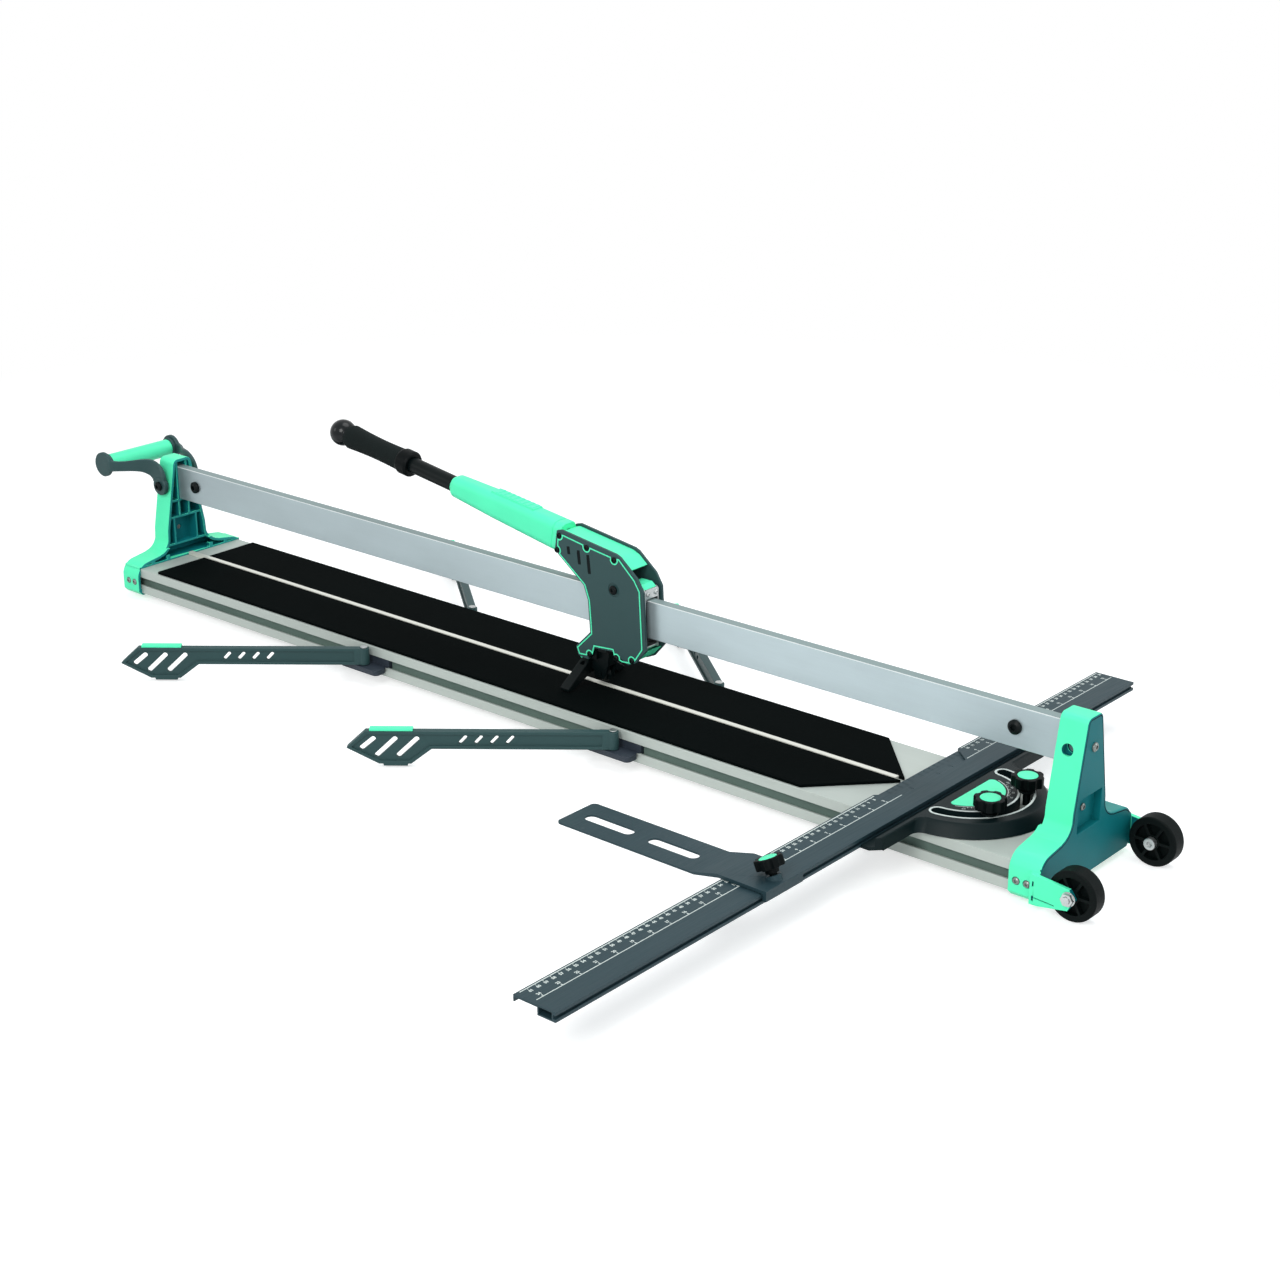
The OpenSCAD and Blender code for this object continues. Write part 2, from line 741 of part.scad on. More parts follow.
module lever_sleeve() {
  color(mint) difference() {
    on_lever() union() {
      hull() {
        sleeve_slice(sleeve_out - 0.5, 21, 21, 0);
        sleeve_slice(sleeve_out - 6, 27, 26, 0);
        sleeve_slice(96, 33, 28, 0);
      }
      hull() {
        sleeve_slice(96, 33, 28, 0);
        sleeve_slice(sleeve_in, 38, 29, 1);
      }
      // ribbed thumb pad
      for (i = [0:7]) translate([16 - i / 8, -8, 34 + i * 8]) cube([2.6, 16, 5]);
    }
    on_lever() translate([0, 0, -25]) cylinder(r = tube_r, h = sleeve_out + 40);
  }
}

module lever_tube() {
  tube_len = ball_at - tube_in - 6;
  color(black) difference() {
    on_lever() translate([0, 0, tube_in]) difference() {
      cylinder(r = tube_r, h = tube_len);
      translate([0, 0, -1]) cylinder(r = tube_r - 2.5, h = tube_len + 2);
    }
    bar_y(head_x + screw_pts[0][0], head_z + screw_pts[0][1], 1.8, -40, 40);
  }
}

module hand_grip() {
  color(black) on_lever() rotate_extrude() polygon(concat(
    [[tube_r, grip_in], [14.5, grip_in]],
    [for (i = [0:8]) [14.2 - 0.9 * sin(180 * i / 8) + 1.4 * pow(i / 8, 2),
      grip_in + 4 + (grip_out - grip_in - 10) * i / 8]],
    [[13.6, grip_out], [tube_r, grip_out]]));
}

module grip_collar() {
  color(black) on_lever() rotate_extrude() polygon([[tube_r, grip_in - 20],
    [14.5, grip_in - 20], [16.5, grip_in - 17], [16.5, grip_in - 4], [15, grip_in],
    [tube_r, grip_in]]);
}

module grip_ball() {
  color("#0E0F10") on_lever() difference() {
    translate([0, 0, ball_at]) sphere(r = 17, $fn = 72);
    translate([0, 0, ball_at - 40]) cylinder(r = 30, h = 27.2);
    translate([0, 0, ball_at - 31]) cylinder(r = tube_r, h = 25);
  }
}

// ---------- scoring wheel and breaking foot ----------

score_x = head_x - 31;
score_r = 11;
score_z = mat_top + 3.5 + score_r;
foot_x = head_x - 49.5;
foot_z = 75;

module wheel_holder() {
  color(black) difference() {
    union() {
      plate_y(-9, 9) polygon([[foot_x - 7, foot_z - 7], [foot_x + 8, foot_z - 7],
        [score_x - 12, score_z + 13], [score_x + 13, score_z + 13], [score_x + 16, 104],
        [foot_x + 6, 104], [foot_x - 7, foot_z + 6]]);
      both_sides() plate_y(4, 9) polygon([[score_x - 12, score_z + 14], [score_x - 7, score_z - 5],
        [score_x + 7, score_z - 5], [score_x + 13, score_z + 14]]);
      plate_y(-core_y, core_y) polygon([[score_x + 2, 95], [score_x + 16, 95], [score_x + 16, 104],
        [score_x + 2, 104]]);
      plate_y(-core_y, core_y) polygon([[foot_x + 3, 84], [foot_x + 19, 84], [foot_x + 19, 97],
        [foot_x + 3, 92]]);
    }
    bar_y(score_x, score_z, 3.02, -12, 12);
    bar_y(foot_x, foot_z, 3.02, -12, 12);
    bar_y(head_x + screw_pts[4][0], head_z + screw_pts[4][1], 1.8, -40, 40);
  }
}

// Block in front of the holder, above the breaking foot.
module foot_mount() {
  color(mint) plate_y(-8.8, 8.8) polygon([[foot_x - 12, foot_z + 3], [foot_x - 7, foot_z + 1],
    [foot_x - 7, foot_z + 14], [foot_x - 9, foot_z + 14]]);
}

module scoring_wheel() {
  color("#C9CBCC") translate([score_x, 0, score_z]) rotate([90, 0, 0]) difference() {
    rotate_extrude($fn = 72) polygon([[0, -3], [score_r - 4, -3], [score_r, 0], [score_r - 4, 3], [0, 3]]);
    translate([0, 0, -5]) cylinder(r = 3.05, h = 10);
  }
}

module holder_pins() {
  color(zinc) {
    bar_y(score_x, score_z, 3, -10, 10);
    bar_y(foot_x, foot_z, 3, -13.6, 13.6);
  }
}

// Two wings that slope down and out from the cut line and press on the tile.
module breaker_foot() {
  tip_y = 51;
  wing_l = foot_x - 7;
  wing_r = foot_x + 6.5;
  pad_low = mat_top + 1.2;
  color(black) difference() {
    union() {
      both_sides() plate_x(wing_l, wing_r)
        polygon([[9.6, foot_z + 5], [14, foot_z + 4], [tip_y, pad_low + 4], [tip_y, pad_low],
          [tip_y - 9, pad_low], [9.6, foot_z - 12]]);
      translate([wing_l, -10, foot_z - 14]) cube([10, 20, 5.5]);
    }
    bar_y(foot_x, foot_z, 3.06, -20, 20);
  }
}

// ---------- fence ----------

disc_x = 586;
flange_w = 29;
box_w = 22;
fence_y0 = -625;
rule_low = 46.5;
flange_low = fence_top - 5;

// XZ section of the ruler: a thin flange with a lip and a hollow box with a side groove.
module rule_section() {
  translate([fence_x, 0]) difference() {
    union() {
      translate([0, flange_low + 2.4]) square([flange_w + 1, fence_top - flange_low - 2.4]);
      translate([0, flange_low - 2]) square([1.6, fence_top - flange_low + 2]);
      translate([flange_w, rule_low]) square([box_w, fence_top - rule_low]);
    }
    translate([flange_w + 1.8, rule_low + 1.8]) square([box_w - 6.4, fence_top - rule_low - 3.6]);
    translate([flange_w + box_w - 3, rule_low + 3.4]) square([4, 3.6]);
  }
}

cut_back = 93;
cut_front = -71;
cut_depth = 24;

module ruler() {
  color(slate) difference() {
    union() {
      plate_y(fence_y0, fence_y0 + fence_len) rule_section();
      // lower land with the raised scale, inside the cut-out of the flange
      translate([fence_x + 1, cut_front + 4, flange_low - 0.4])
        cube([flange_w, cut_back - cut_front - 8, 3.2]);
    }
    // cut-out of the flange over the bed, above the lower land
    translate([0, 0, flange_low + 2.8]) linear_extrude(10) cut_outline();
    difference() {
      translate([0, 0, flange_low - 3]) linear_extrude(10) cut_outline();
      translate([fence_x + 1, cut_front + 4, flange_low - 4]) cube([flange_w, cut_back - cut_front - 8, 12]);
    }
  }
}

module cut_outline() {
  polygon([[fence_x - 1, cut_front], [fence_x + cut_depth, cut_front + cut_depth],
    [fence_x + cut_depth, cut_back - 22], [fence_x - 1, cut_back]]);
}

wing_x = fence_x + flange_w + box_w;
raise_x = wing_x + 14;
wing_edge = wing_x + 21.3;
wing_y = 165;
disc_low = bed_top + 0.6;
disc_top = 59.5;
slot_r = 64;
slot_w = 13;
slot_half = 84;

// Half disc with a sloping wall, and the two wings along the ruler.
module disc_body() {
  wall_top = disc_top - 1.5;
  intersection() {
    translate([disc_x, 0, 0]) rotate_extrude($fn = 128) polygon([[0, disc_low], [disc_r, disc_low],
      [disc_r - 8.5, wall_top], [disc_r - 10.5, disc_top], [0, disc_top]]);
    translate([raise_x, -disc_r - 1, 0]) cube([2 * disc_r, 2 * disc_r + 2, 80]);
  }
  plate_y(-wing_y, wing_y) polygon([[raise_x, disc_low], [wing_edge, disc_low],
    [wing_edge - 2, wall_top], [wing_edge - 3.2, disc_top], [raise_x, disc_top]]);
  // low flange beside the ruler and its lip under the ruler's box
  translate([wing_x, -wing_y, disc_low]) cube([raise_x - wing_x + 1, 2 * wing_y, 4]);
  translate([wing_x - 12, -wing_y, disc_low]) cube([13, 2 * wing_y, rule_low - disc_low]);
}

// Cuts the free corners off the wings.
module wing_corners() {
  both_sides() translate([wing_edge, wing_y, 0]) rotate([0, 0, 45])
    translate([-8, -6, 0]) cube([20, 20, 80]);
}

// Curved slot about the disc's centre.
module curved_slot() {
  outer = slot_r + slot_w / 2;
  inner = slot_r - slot_w / 2;
  end_x = slot_r * cos(slot_half);
  end_y = slot_r * sin(slot_half);
  cap = slot_w / 2;
  step = 15;
  polygon(concat(
    arc_pts([0, 0], outer, -slot_half, slot_half, 42),
    arc_pts([end_x, end_y], cap, slot_half + step, slot_half + 180 - step, 10),
    arc_pts([0, 0], inner, slot_half, -slot_half, 42),
    arc_pts([end_x, -end_y], cap, 180 - slot_half + step, 360 - slot_half - step, 10)));
}

// D-shaped inlay: a chord beside the ruler and an arc inside the slot.
module inlay_outline(grow) {
  polygon(concat(
    arc_pts([10.5, -35.5], 5 + grow, 180, 286, 6),
    arc_pts([0, 0], 42 + grow, -73, 73, 16),
    arc_pts([10.5, 35.5], 5 + grow, 74, 180, 6)));
}

module protractor() {
  color("#2F3B40") difference() {
    disc_body();
    wing_corners();
    translate([disc_x, 0, disc_low - 1]) linear_extrude(20) curved_slot();
    translate([disc_x, 0, disc_low - 1]) cylinder(r = 3.05, h = 6.6);
    translate([disc_x, 0, disc_top - 1]) linear_extrude(2) inlay_outline(0.1);
  }
}

module protractor_inlay() {
  color(mint) translate([disc_x, 0, disc_top - 1]) linear_extrude(1.2) inlay_outline(0);
}

module guide_pivot_pin() {
  color(zinc) translate([disc_x, 0, bed_top]) cylinder(r = 3, h = 5.8);
}

knob_angle = 35;
knob_low = disc_top + 3.2;

knob_h = 16.4;
clamp_r = 17.5;
stop_r = 15;

// A seven-lobed knob standing on its collar; bore_r is its blind bore, or 0 for none.
module lobed_knob(r, bore_r, collar) {
  lobes = 7;
  difference() {
    union() {
      cylinder(r = r * 0.48, h = collar + 0.1);
      translate([0, 0, collar]) linear_extrude(knob_h - collar) difference() {
        circle(r = r, $fn = 96);
        for (i = [0:lobes - 1]) rotate(i * 360 / lobes) translate([r + 2.8, 0]) circle(r = 5.2);
      }
    }
    if (bore_r > 0) translate([0, 0, -1]) cylinder(r = bore_r, h = knob_h - 3);
    translate([0, 0, knob_h - 1.4]) cylinder(r = r * 0.63 + 0.1, h = 3);
  }
}

module knob_cap(r) {
  cylinder(r = r * 0.63, h = 1.2);
  translate([0, 0, 1.2]) cylinder(r1 = r * 0.63, r2 = r * 0.52, h = 0.8);
}

module at_clamp(side) {
  translate([disc_x, 0, 0]) rotate(side * knob_angle) translate([slot_r, 0, 0]) children();
}

module clamp_knob(side) {
  color(black) at_clamp(side) translate([0, 0, knob_low]) lobed_knob(clamp_r, 4.05, 4.5);
}

module clamp_cap(side) {
  color(mint) at_clamp(side) translate([0, 0, knob_low + knob_h - 1.4]) knob_cap(clamp_r);
}

module clamp_knob_front() { clamp_knob(-1); }
module clamp_knob_back() { clamp_knob(1); }
module clamp_cap_front() { clamp_cap(-1); }
module clamp_cap_back() { clamp_cap(1); }

module knob_studs() {
  color(zinc) for (side = [-1, 1]) at_clamp(side) {
    translate([0, 0, bed_top]) cylinder(r = 4, h = knob_low + 12 - bed_top);
    translate([0, 0, disc_top + 0.4]) cylinder(r = 9, h = 2.4);
  }
}

// ---------- stop bar on the fence ----------

stop_y = -300;
stop_tilt = 24;
stop_w = 60;
stop_left = 298;
stop_low = mat_top + 2.5;
stop_t = 2.4;
ride = fence_top + 0.4;

module stop_bar() {
  bend_x = fence_x - 36;
  over_x = fence_x - 5;
  right = fence_x + flange_w + box_w;
  color(slate) difference() {
    union() {
      // flat tongue with two slots
      translate([(stop_left + bend_x) / 2, stop_y, stop_low]) linear_extrude(stop_t) difference() {
        round_rect(bend_x - stop_left, stop_w, 6);
        for (s = [-1, 1]) slot_2d([s * 43 - 25, 0], [s * 43 + 25, 0], 14);
      }
      // joggle up over the ruler
      plate_y(stop_y - stop_w / 2, stop_y + stop_w / 2) polygon([[bend_x - 8, stop_low],
        [bend_x + 2, stop_low], [over_x + 2, ride], [right + 0.4, ride], [right + 0.4, stop_low - 1],
        [right + 5, stop_low - 1], [right + 5, ride + 4], [over_x, ride + 4],
        [bend_x, stop_low + stop_t], [bend_x - 8, stop_low + stop_t]]);
      // slanted seat of the clamping screw
      intersection() {
        at_stop_knob() translate([0, 0, -6]) cylinder(r = 8, h = 9);
        translate([knob_x - 20, stop_y - 20, ride + 1]) cube([40, 40, 30]);
      }
    }
    at_stop_knob() translate([0, 0, -12]) cylinder(r = 4.05, h = 30);
  }
}

knob_x = fence_x + flange_w + 14;
stop_knob_up = 5;

// The clamping screw leans away from the ruler's outer edge.
module at_stop_knob() {
  translate([knob_x, stop_y, ride + 4]) rotate([0, -stop_tilt, 0]) children();
}

module stop_knob() {
  color(black) at_stop_knob() {
    translate([0, 0, stop_knob_up]) lobed_knob(stop_r, 0, 5.5);
    translate([0, 0, -2.3]) cylinder(r = 4, h = stop_knob_up + 2.6);
  }
}

module stop_cap() {
  color(mint) at_stop_knob() translate([0, 0, stop_knob_up + knob_h - 1.4]) knob_cap(stop_r);
}

base_extrusion();
groove_rails();
centre_strip();
mats();
foot_strips();
bracket_left();
bracket_right();
bracket_screws();
rail();
rail_stop_bolts();
axle_bolts();
arm_blocks();
arm_pins();
guide_pivot_pin();
knob_studs();
handle_bolts();
wheel_front();
wheel_back();
handle_arms();
carry_grip();
support_arm_fl();
support_arm_fr();
support_arm_bl();
support_arm_br();
arm_pad_fl();
arm_pad_fr();
arm_pad_bl();
arm_pad_br();
frame_plates();
guide_block();
guide_pads();
roller_pins();
roller_left();
roller_right();
head_pivot_bolt();
head_plate_front();
head_plate_back();
lever_block();
lower_core();
plate_screws();
lever_sleeve();
lever_tube();
hand_grip();
grip_collar();
grip_ball();
wheel_holder();
foot_mount();
scoring_wheel();
holder_pins();
breaker_foot();
ruler();
protractor();
protractor_inlay();
clamp_knob_front();
clamp_knob_back();
clamp_cap_front();
clamp_cap_back();
stop_bar();
stop_knob();
stop_cap();
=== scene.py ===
"""Looks of the rail tile cutter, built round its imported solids.  Metres, +X along the bed, +Z up."""

import json
import math
from collections import namedtuple

import bmesh
import bpy
from mathutils import Matrix, Vector
from mathutils.bvhtree import BVHTree


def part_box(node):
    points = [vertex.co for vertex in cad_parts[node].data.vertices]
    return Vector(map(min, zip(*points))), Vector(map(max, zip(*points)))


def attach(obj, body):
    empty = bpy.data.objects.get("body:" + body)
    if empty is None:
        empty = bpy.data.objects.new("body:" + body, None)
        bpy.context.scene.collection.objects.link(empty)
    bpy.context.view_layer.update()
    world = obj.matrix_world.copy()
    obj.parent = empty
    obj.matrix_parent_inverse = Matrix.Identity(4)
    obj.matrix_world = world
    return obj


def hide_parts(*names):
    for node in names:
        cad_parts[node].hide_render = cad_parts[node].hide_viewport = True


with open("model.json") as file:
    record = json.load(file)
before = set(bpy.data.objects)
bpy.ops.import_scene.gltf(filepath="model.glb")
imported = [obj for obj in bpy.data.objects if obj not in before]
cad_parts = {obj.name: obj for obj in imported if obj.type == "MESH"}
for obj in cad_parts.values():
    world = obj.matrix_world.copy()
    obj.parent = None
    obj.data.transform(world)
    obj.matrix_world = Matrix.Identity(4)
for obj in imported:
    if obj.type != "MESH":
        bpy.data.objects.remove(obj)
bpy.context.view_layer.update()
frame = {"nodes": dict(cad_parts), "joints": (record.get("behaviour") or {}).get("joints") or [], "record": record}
nodes = frame["nodes"]
body_of_node = {n: b for b, members in frame["record"]["behaviour"]["bodies"].items() for n in members}
slot_of_node = {s["node"]: s["material_slot"] for s in frame["record"]["subparts"]}

MM = 0.001
Place = namedtuple("Place", "x y z")


def in_mm(metres):
    """A place of the shared frame in millimetres, to a hundredth."""
    return Place(*(round(v / MM, 2) for v in metres))


def lowest(node):
    """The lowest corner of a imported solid."""
    return in_mm(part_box(node)[0])


def highest(node):
    """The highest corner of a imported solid."""
    return in_mm(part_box(node)[1])


def middle_of(node):
    """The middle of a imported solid's box."""
    low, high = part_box(node)
    return in_mm((low + high) / 2)


def joint_place(name):
    """The place of a joint's axis."""
    return next(in_mm(joint["pos_m"]) for joint in frame["joints"] if joint["name"] == name)


def srgb(r, g, b):
    """A colour picked on a screen, 0 to 255, as the linear colour a shader takes."""
    def linear(v):
        v /= 255
        return v / 12.92 if v <= 0.04045 else ((v + 0.055) / 1.055) ** 2.4
    return (linear(r), linear(g), linear(b), 1.0)


# ---------- materials ----------

MATERIALS = {}


def tinted(colour, factor):
    return tuple(min(1.0, c * factor) for c in colour[:3]) + (1.0,)


class Shader:
    """Short calls to add and join the nodes of one material."""

    def __init__(self, name):
        self.mat = bpy.data.materials.new(name)
        self.mat.use_nodes = True
        self.tree = self.mat.node_tree
        self.bsdf = self.tree.nodes["Principled BSDF"]
        self.place = self.add("ShaderNodeTexCoord").outputs["Object"]

    def add(self, kind, **settings):
        node = self.tree.nodes.new(kind)
        for key, value in settings.items():
            setattr(node, key, value)
        return node

    def join(self, a, b):
        self.tree.links.new(a, b)

    def noise(self, scale, stretch, detail):
        mapping = self.add("ShaderNodeMapping")
        mapping.inputs["Scale"].default_value = stretch
        self.join(self.place, mapping.inputs["Vector"])
        node = self.add("ShaderNodeTexNoise")
        node.inputs["Scale"].default_value = scale
        node.inputs["Detail"].default_value = detail
        node.inputs["Roughness"].default_value = 0.55
        self.join(mapping.outputs["Vector"], node.inputs["Vector"])
        return node.outputs["Fac"]

    def ramp(self, fac, stops):
        node = self.add("ShaderNodeValToRGB")
        while len(node.color_ramp.elements) < len(stops):
            node.color_ramp.elements.new(0.5)
        for element, (at, colour) in zip(node.color_ramp.elements, stops):
            element.position = at
            element.color = colour
        self.join(fac, node.inputs["Fac"])
        return node.outputs["Color"]

    def multiply(self, a, b):
        """The product of two colours."""
        node = self.add("ShaderNodeMix", data_type="RGBA", blend_type="MULTIPLY")
        node.inputs[0].default_value = 1.0
        self.join(a, node.inputs[6])
        self.join(b, node.inputs[7])
        return node.outputs[2]

    def spread(self, fac, start, end, low, high):
        """A value between start and end, stretched to run from low to high."""
        node = self.add("ShaderNodeMapRange")
        node.inputs["From Min"].default_value = start
        node.inputs["From Max"].default_value = end
        node.inputs["To Min"].default_value = low
        node.inputs["To Max"].default_value = high
        self.join(fac, node.inputs["Value"])
        return node.outputs["Result"]

    def bump(self, fac, strength, distance):
        node = self.add("ShaderNodeBump")
        node.inputs["Strength"].default_value = strength
        node.inputs["Distance"].default_value = distance
        self.join(fac, node.inputs["Height"])
        self.join(node.outputs["Normal"], self.bsdf.inputs["Normal"])

    def set(self, **values):
        for key, value in values.items():
            self.bsdf.inputs[key.replace("_", " ")].default_value = value


def finish(name, colour, rough, metal=0.0, vary=0.08, patch=14.0, stretch=(1, 1, 1),
           grain=900.0, grain_stretch=(1, 1, 1), rough_spread=0.06, bump=0.15, depth=0.0002, **extra):
    """Adds a material with slow colour drift, fine roughness grain and a slight relief."""
    s = Shader(name)
    drift = s.noise(patch, stretch, detail=4.0)
    fine = s.noise(grain, grain_stretch, detail=2.0)
    base = s.ramp(drift, [(0.3, tinted(colour, 1 - vary)), (0.7, tinted(colour, 1 + vary))])
    speck = s.ramp(fine, [(0.35, tinted((1, 1, 1), 1 - vary / 2)), (0.65, (1, 1, 1, 1))])
    s.join(s.multiply(base, speck), s.bsdf.inputs["Base Color"])
    roughness = s.spread(fine, 0.3, 0.7, rough - rough_spread, rough + rough_spread)
    s.join(roughness, s.bsdf.inputs["Roughness"])
    s.bump(fine, bump, depth)
    s.set(Metallic=metal, **extra)
    MATERIALS[name] = s.mat
    return s


# half the length over which the painted sheen changes, in metres
PAINTED_SHEEN_REACH = 0.7


def sheen_along_x(shader, low, high):
    """Paints a sheen: brightens a surface slowly along X, from a factor low to a factor high."""
    base = shader.bsdf.inputs["Base Color"]
    colour = base.links[0].from_socket
    split = shader.add("ShaderNodeSeparateXYZ")
    shader.join(shader.place, split.inputs[0])
    level = shader.spread(split.outputs["X"], -PAINTED_SHEEN_REACH, PAINTED_SHEEN_REACH, low, high)
    grey = shader.add("ShaderNodeCombineColor")
    for channel in grey.inputs:
        shader.join(level, channel)
    shader.join(shader.multiply(colour, grey.outputs[0]), base)


MINT = srgb(88, 248, 190)
SEA_AND_SHADE = srgb(8, 112, 118)
TEAL = srgb(44, 72, 73)
SLATE = srgb(36, 58, 65)
BED = srgb(184, 192, 186)

# castings and paint
finish("mint_cast", MINT, 0.42, vary=0.03, patch=9.0, grain=1400.0, bump=0.12, depth=0.00015,
       Specular_IOR_Level=0.3)
# sea green, partly the brackets' own colour and partly painted shade on their end faces and in their pockets
finish("sea_paint_and_shade", SEA_AND_SHADE, 0.5, vary=0.06, patch=12.0, grain=1400.0, bump=0.2, depth=0.00015,
       Specular_IOR_Level=0.15)
# a lighter sea green, painted light on the brackets' rims and ribs and painted shade on the far shoulder's top
finish("sea_painted_light", srgb(30, 140, 136), 0.45, vary=0.05, patch=12.0, grain=1400.0,
       Specular_IOR_Level=0.2)
finish("teal_paint", TEAL, 0.48, vary=0.05, patch=11.0, grain=1600.0, bump=0.22,
       Specular_IOR_Level=0.25)
finish("dark_cast", srgb(9, 24, 26), 0.45, vary=0.07, patch=12.0, grain=1300.0, bump=0.25,
       Specular_IOR_Level=0.12)

# extruded aluminium, brushed along its length
finish("bed_aluminium", BED, 0.46, metal=0.2, vary=0.03, patch=5.0, stretch=(0.4, 8, 8), grain=500.0,
       grain_stretch=(0.02, 1, 1), bump=0.1, Specular_IOR_Level=0.3)
# painted shade for the inside of the bed's side grooves
finish("bed_shade", srgb(112, 132, 124), 0.6, vary=0.05, grain=500.0, grain_stretch=(0.02, 1, 1),
       Specular_IOR_Level=0.15)
finish("strip_aluminium", srgb(226, 226, 216), 0.32, metal=0.3, vary=0.03, grain=700.0,
       grain_stretch=(0.02, 1, 1))
finish("slate_aluminium", SLATE, 0.46, metal=0.15, vary=0.05, patch=6.0, stretch=(10, 0.6, 10),
       grain=800.0, grain_stretch=(1, 0.03, 1), bump=0.12, Specular_IOR_Level=0.25)

# steel
rail_steel = finish("rail_steel", srgb(172, 186, 190), 0.36, metal=0.6, vary=0.05, patch=22.0,
                    stretch=(0.35, 1, 1.6), grain=480.0, grain_stretch=(0.015, 1, 1),
                    rough_spread=0.05, bump=0.03, depth=0.0001)
# painted reflection: the rail's steel brightens towards +X
sheen_along_x(rail_steel, 0.86, 1.22)
# a painted highlight for the rail's rounded edges
finish("rail_edge_highlight", srgb(236, 240, 240), 0.4, metal=0.1, vary=0.02)
finish("rail_top", srgb(132, 150, 150), 0.5, metal=0.4, vary=0.04, patch=5.0, grain=500.0,
       grain_stretch=(0.02, 1, 1), bump=0.05)
finish("zinc_steel", srgb(186, 190, 190), 0.32, metal=0.9, vary=0.08, patch=60.0, grain=1200.0)
finish("screw_steel", srgb(128, 134, 130), 0.34, metal=0.6, vary=0.1, patch=60.0, grain=1200.0)
finish("black_steel", srgb(5, 13, 14), 0.4, vary=0.1, patch=40.0, Specular_IOR_Level=0.12)

# plastic, foam and rubber
finish("mint_plastic", MINT, 0.38, vary=0.03, patch=20.0, grain=1500.0, bump=0.05, depth=0.0001,
       Specular_IOR_Level=0.3)
finish("black_plastic", srgb(3, 8, 9), 0.45, vary=0.08, patch=30.0, bump=0.25,
       Specular_IOR_Level=0.08)
finish("grip_foam", srgb(10, 19, 19), 0.8, vary=0.14, patch=50.0, grain=1100.0, bump=0.7,
       depth=0.0005, Specular_IOR_Level=0.15)
finish("ball_plastic", srgb(6, 13, 16), 0.2, vary=0.05, bump=0.02, Specular_IOR_Level=0.25)
finish("wheel_plastic", srgb(5, 12, 12), 0.55, vary=0.1, patch=30.0, bump=0.3,
       Specular_IOR_Level=0.08)
finish("block_plastic", srgb(46, 54, 64), 0.46, vary=0.06, patch=25.0, bump=0.25,
       Specular_IOR_Level=0.25)
finish("mat_rubber", srgb(4, 8, 8), 0.85, vary=0.16, patch=6.0, grain=1800.0, rough_spread=0.08,
       bump=0.35, depth=0.0003, Specular_IOR_Level=0.02)
finish("foot_rubber", srgb(16, 17, 18), 0.75, vary=0.1, bump=0.3, Specular_IOR_Level=0.2)

# print, and a dark colour for seams and for painted shade in the depths of slits and grooves
finish("scale_print", srgb(205, 214, 210), 0.5, vary=0.06, patch=90.0, Specular_IOR_Level=0.2)
finish("seam_and_shade_dark", srgb(12, 20, 21), 0.7, vary=0.1, Specular_IOR_Level=0.1)


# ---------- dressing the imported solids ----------

def smooth_by_angle(bm, limit):
    for face in bm.faces:
        face.smooth = True
    for edge in bm.edges:
        sharp = len(edge.link_faces) != 2 or edge.calc_face_angle(0.0) > limit
        edge.smooth = not sharp


def place(bm, name, material, body):
    """Ends a mesh and makes it a piece that rides with a body."""
    mesh = bpy.data.meshes.new(name)
    bm.to_mesh(mesh)
    bm.free()
    piece = bpy.data.objects.new(name, mesh)
    bpy.context.scene.collection.objects.link(piece)
    mesh.materials.append(MATERIALS[material])
    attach(piece, body)
    return piece


BEVEL_ANGLE, SMOOTH_ANGLE = math.radians(28), math.radians(40)
WELD = 0.5e-6


def round_edges(bm, edges, radius, steps):
    bmesh.ops.bevel(bm, geom=edges, offset=radius * MM, segments=steps, profile=0.5, affect="EDGES",
                    clamp_overlap=False, offset_type="OFFSET", loop_slide=False)


def sharp_edges(bm, pick):
    return [e for e in bm.edges
            if len(e.link_faces) == 2 and e.calc_face_angle(0.0) > BEVEL_ANGLE and (not pick or pick(e))]


def dress(node, radius, material=None, broad=None, only=None, second=(), classify=None):
    """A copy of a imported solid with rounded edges.

    broad is a wider radius and the edges that get it first, only picks the edges that are rounded at
    all, and classify gives each face its place in the list of the first and the second materials.
    """
    bm = bmesh.new()
    bm.from_mesh(nodes[node].data)
    bmesh.ops.remove_doubles(bm, verts=bm.verts, dist=WELD)
    if broad:
        wide, pick = broad
        round_edges(bm, sharp_edges(bm, pick), wide, 4)
    if radius:
        round_edges(bm, sharp_edges(bm, only), radius, 2)
    smooth_by_angle(bm, SMOOTH_ANGLE)
    if classify:
        bm.normal_update()
        tree = BVHTree.FromBMesh(bm)
        for face in bm.faces:
            face.material_index = classify(face, tree)
    piece = place(bm, node + "_dressed", material or slot_of_node[node], body_of_node[node])
    for extra in second:
        piece.data.materials.append(MATERIALS[extra])
    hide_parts(node)
    if radius:
        weighted = piece.modifiers.new("even_shading", "WEIGHTED_NORMAL")
        weighted.keep_sharp = True
    return piece


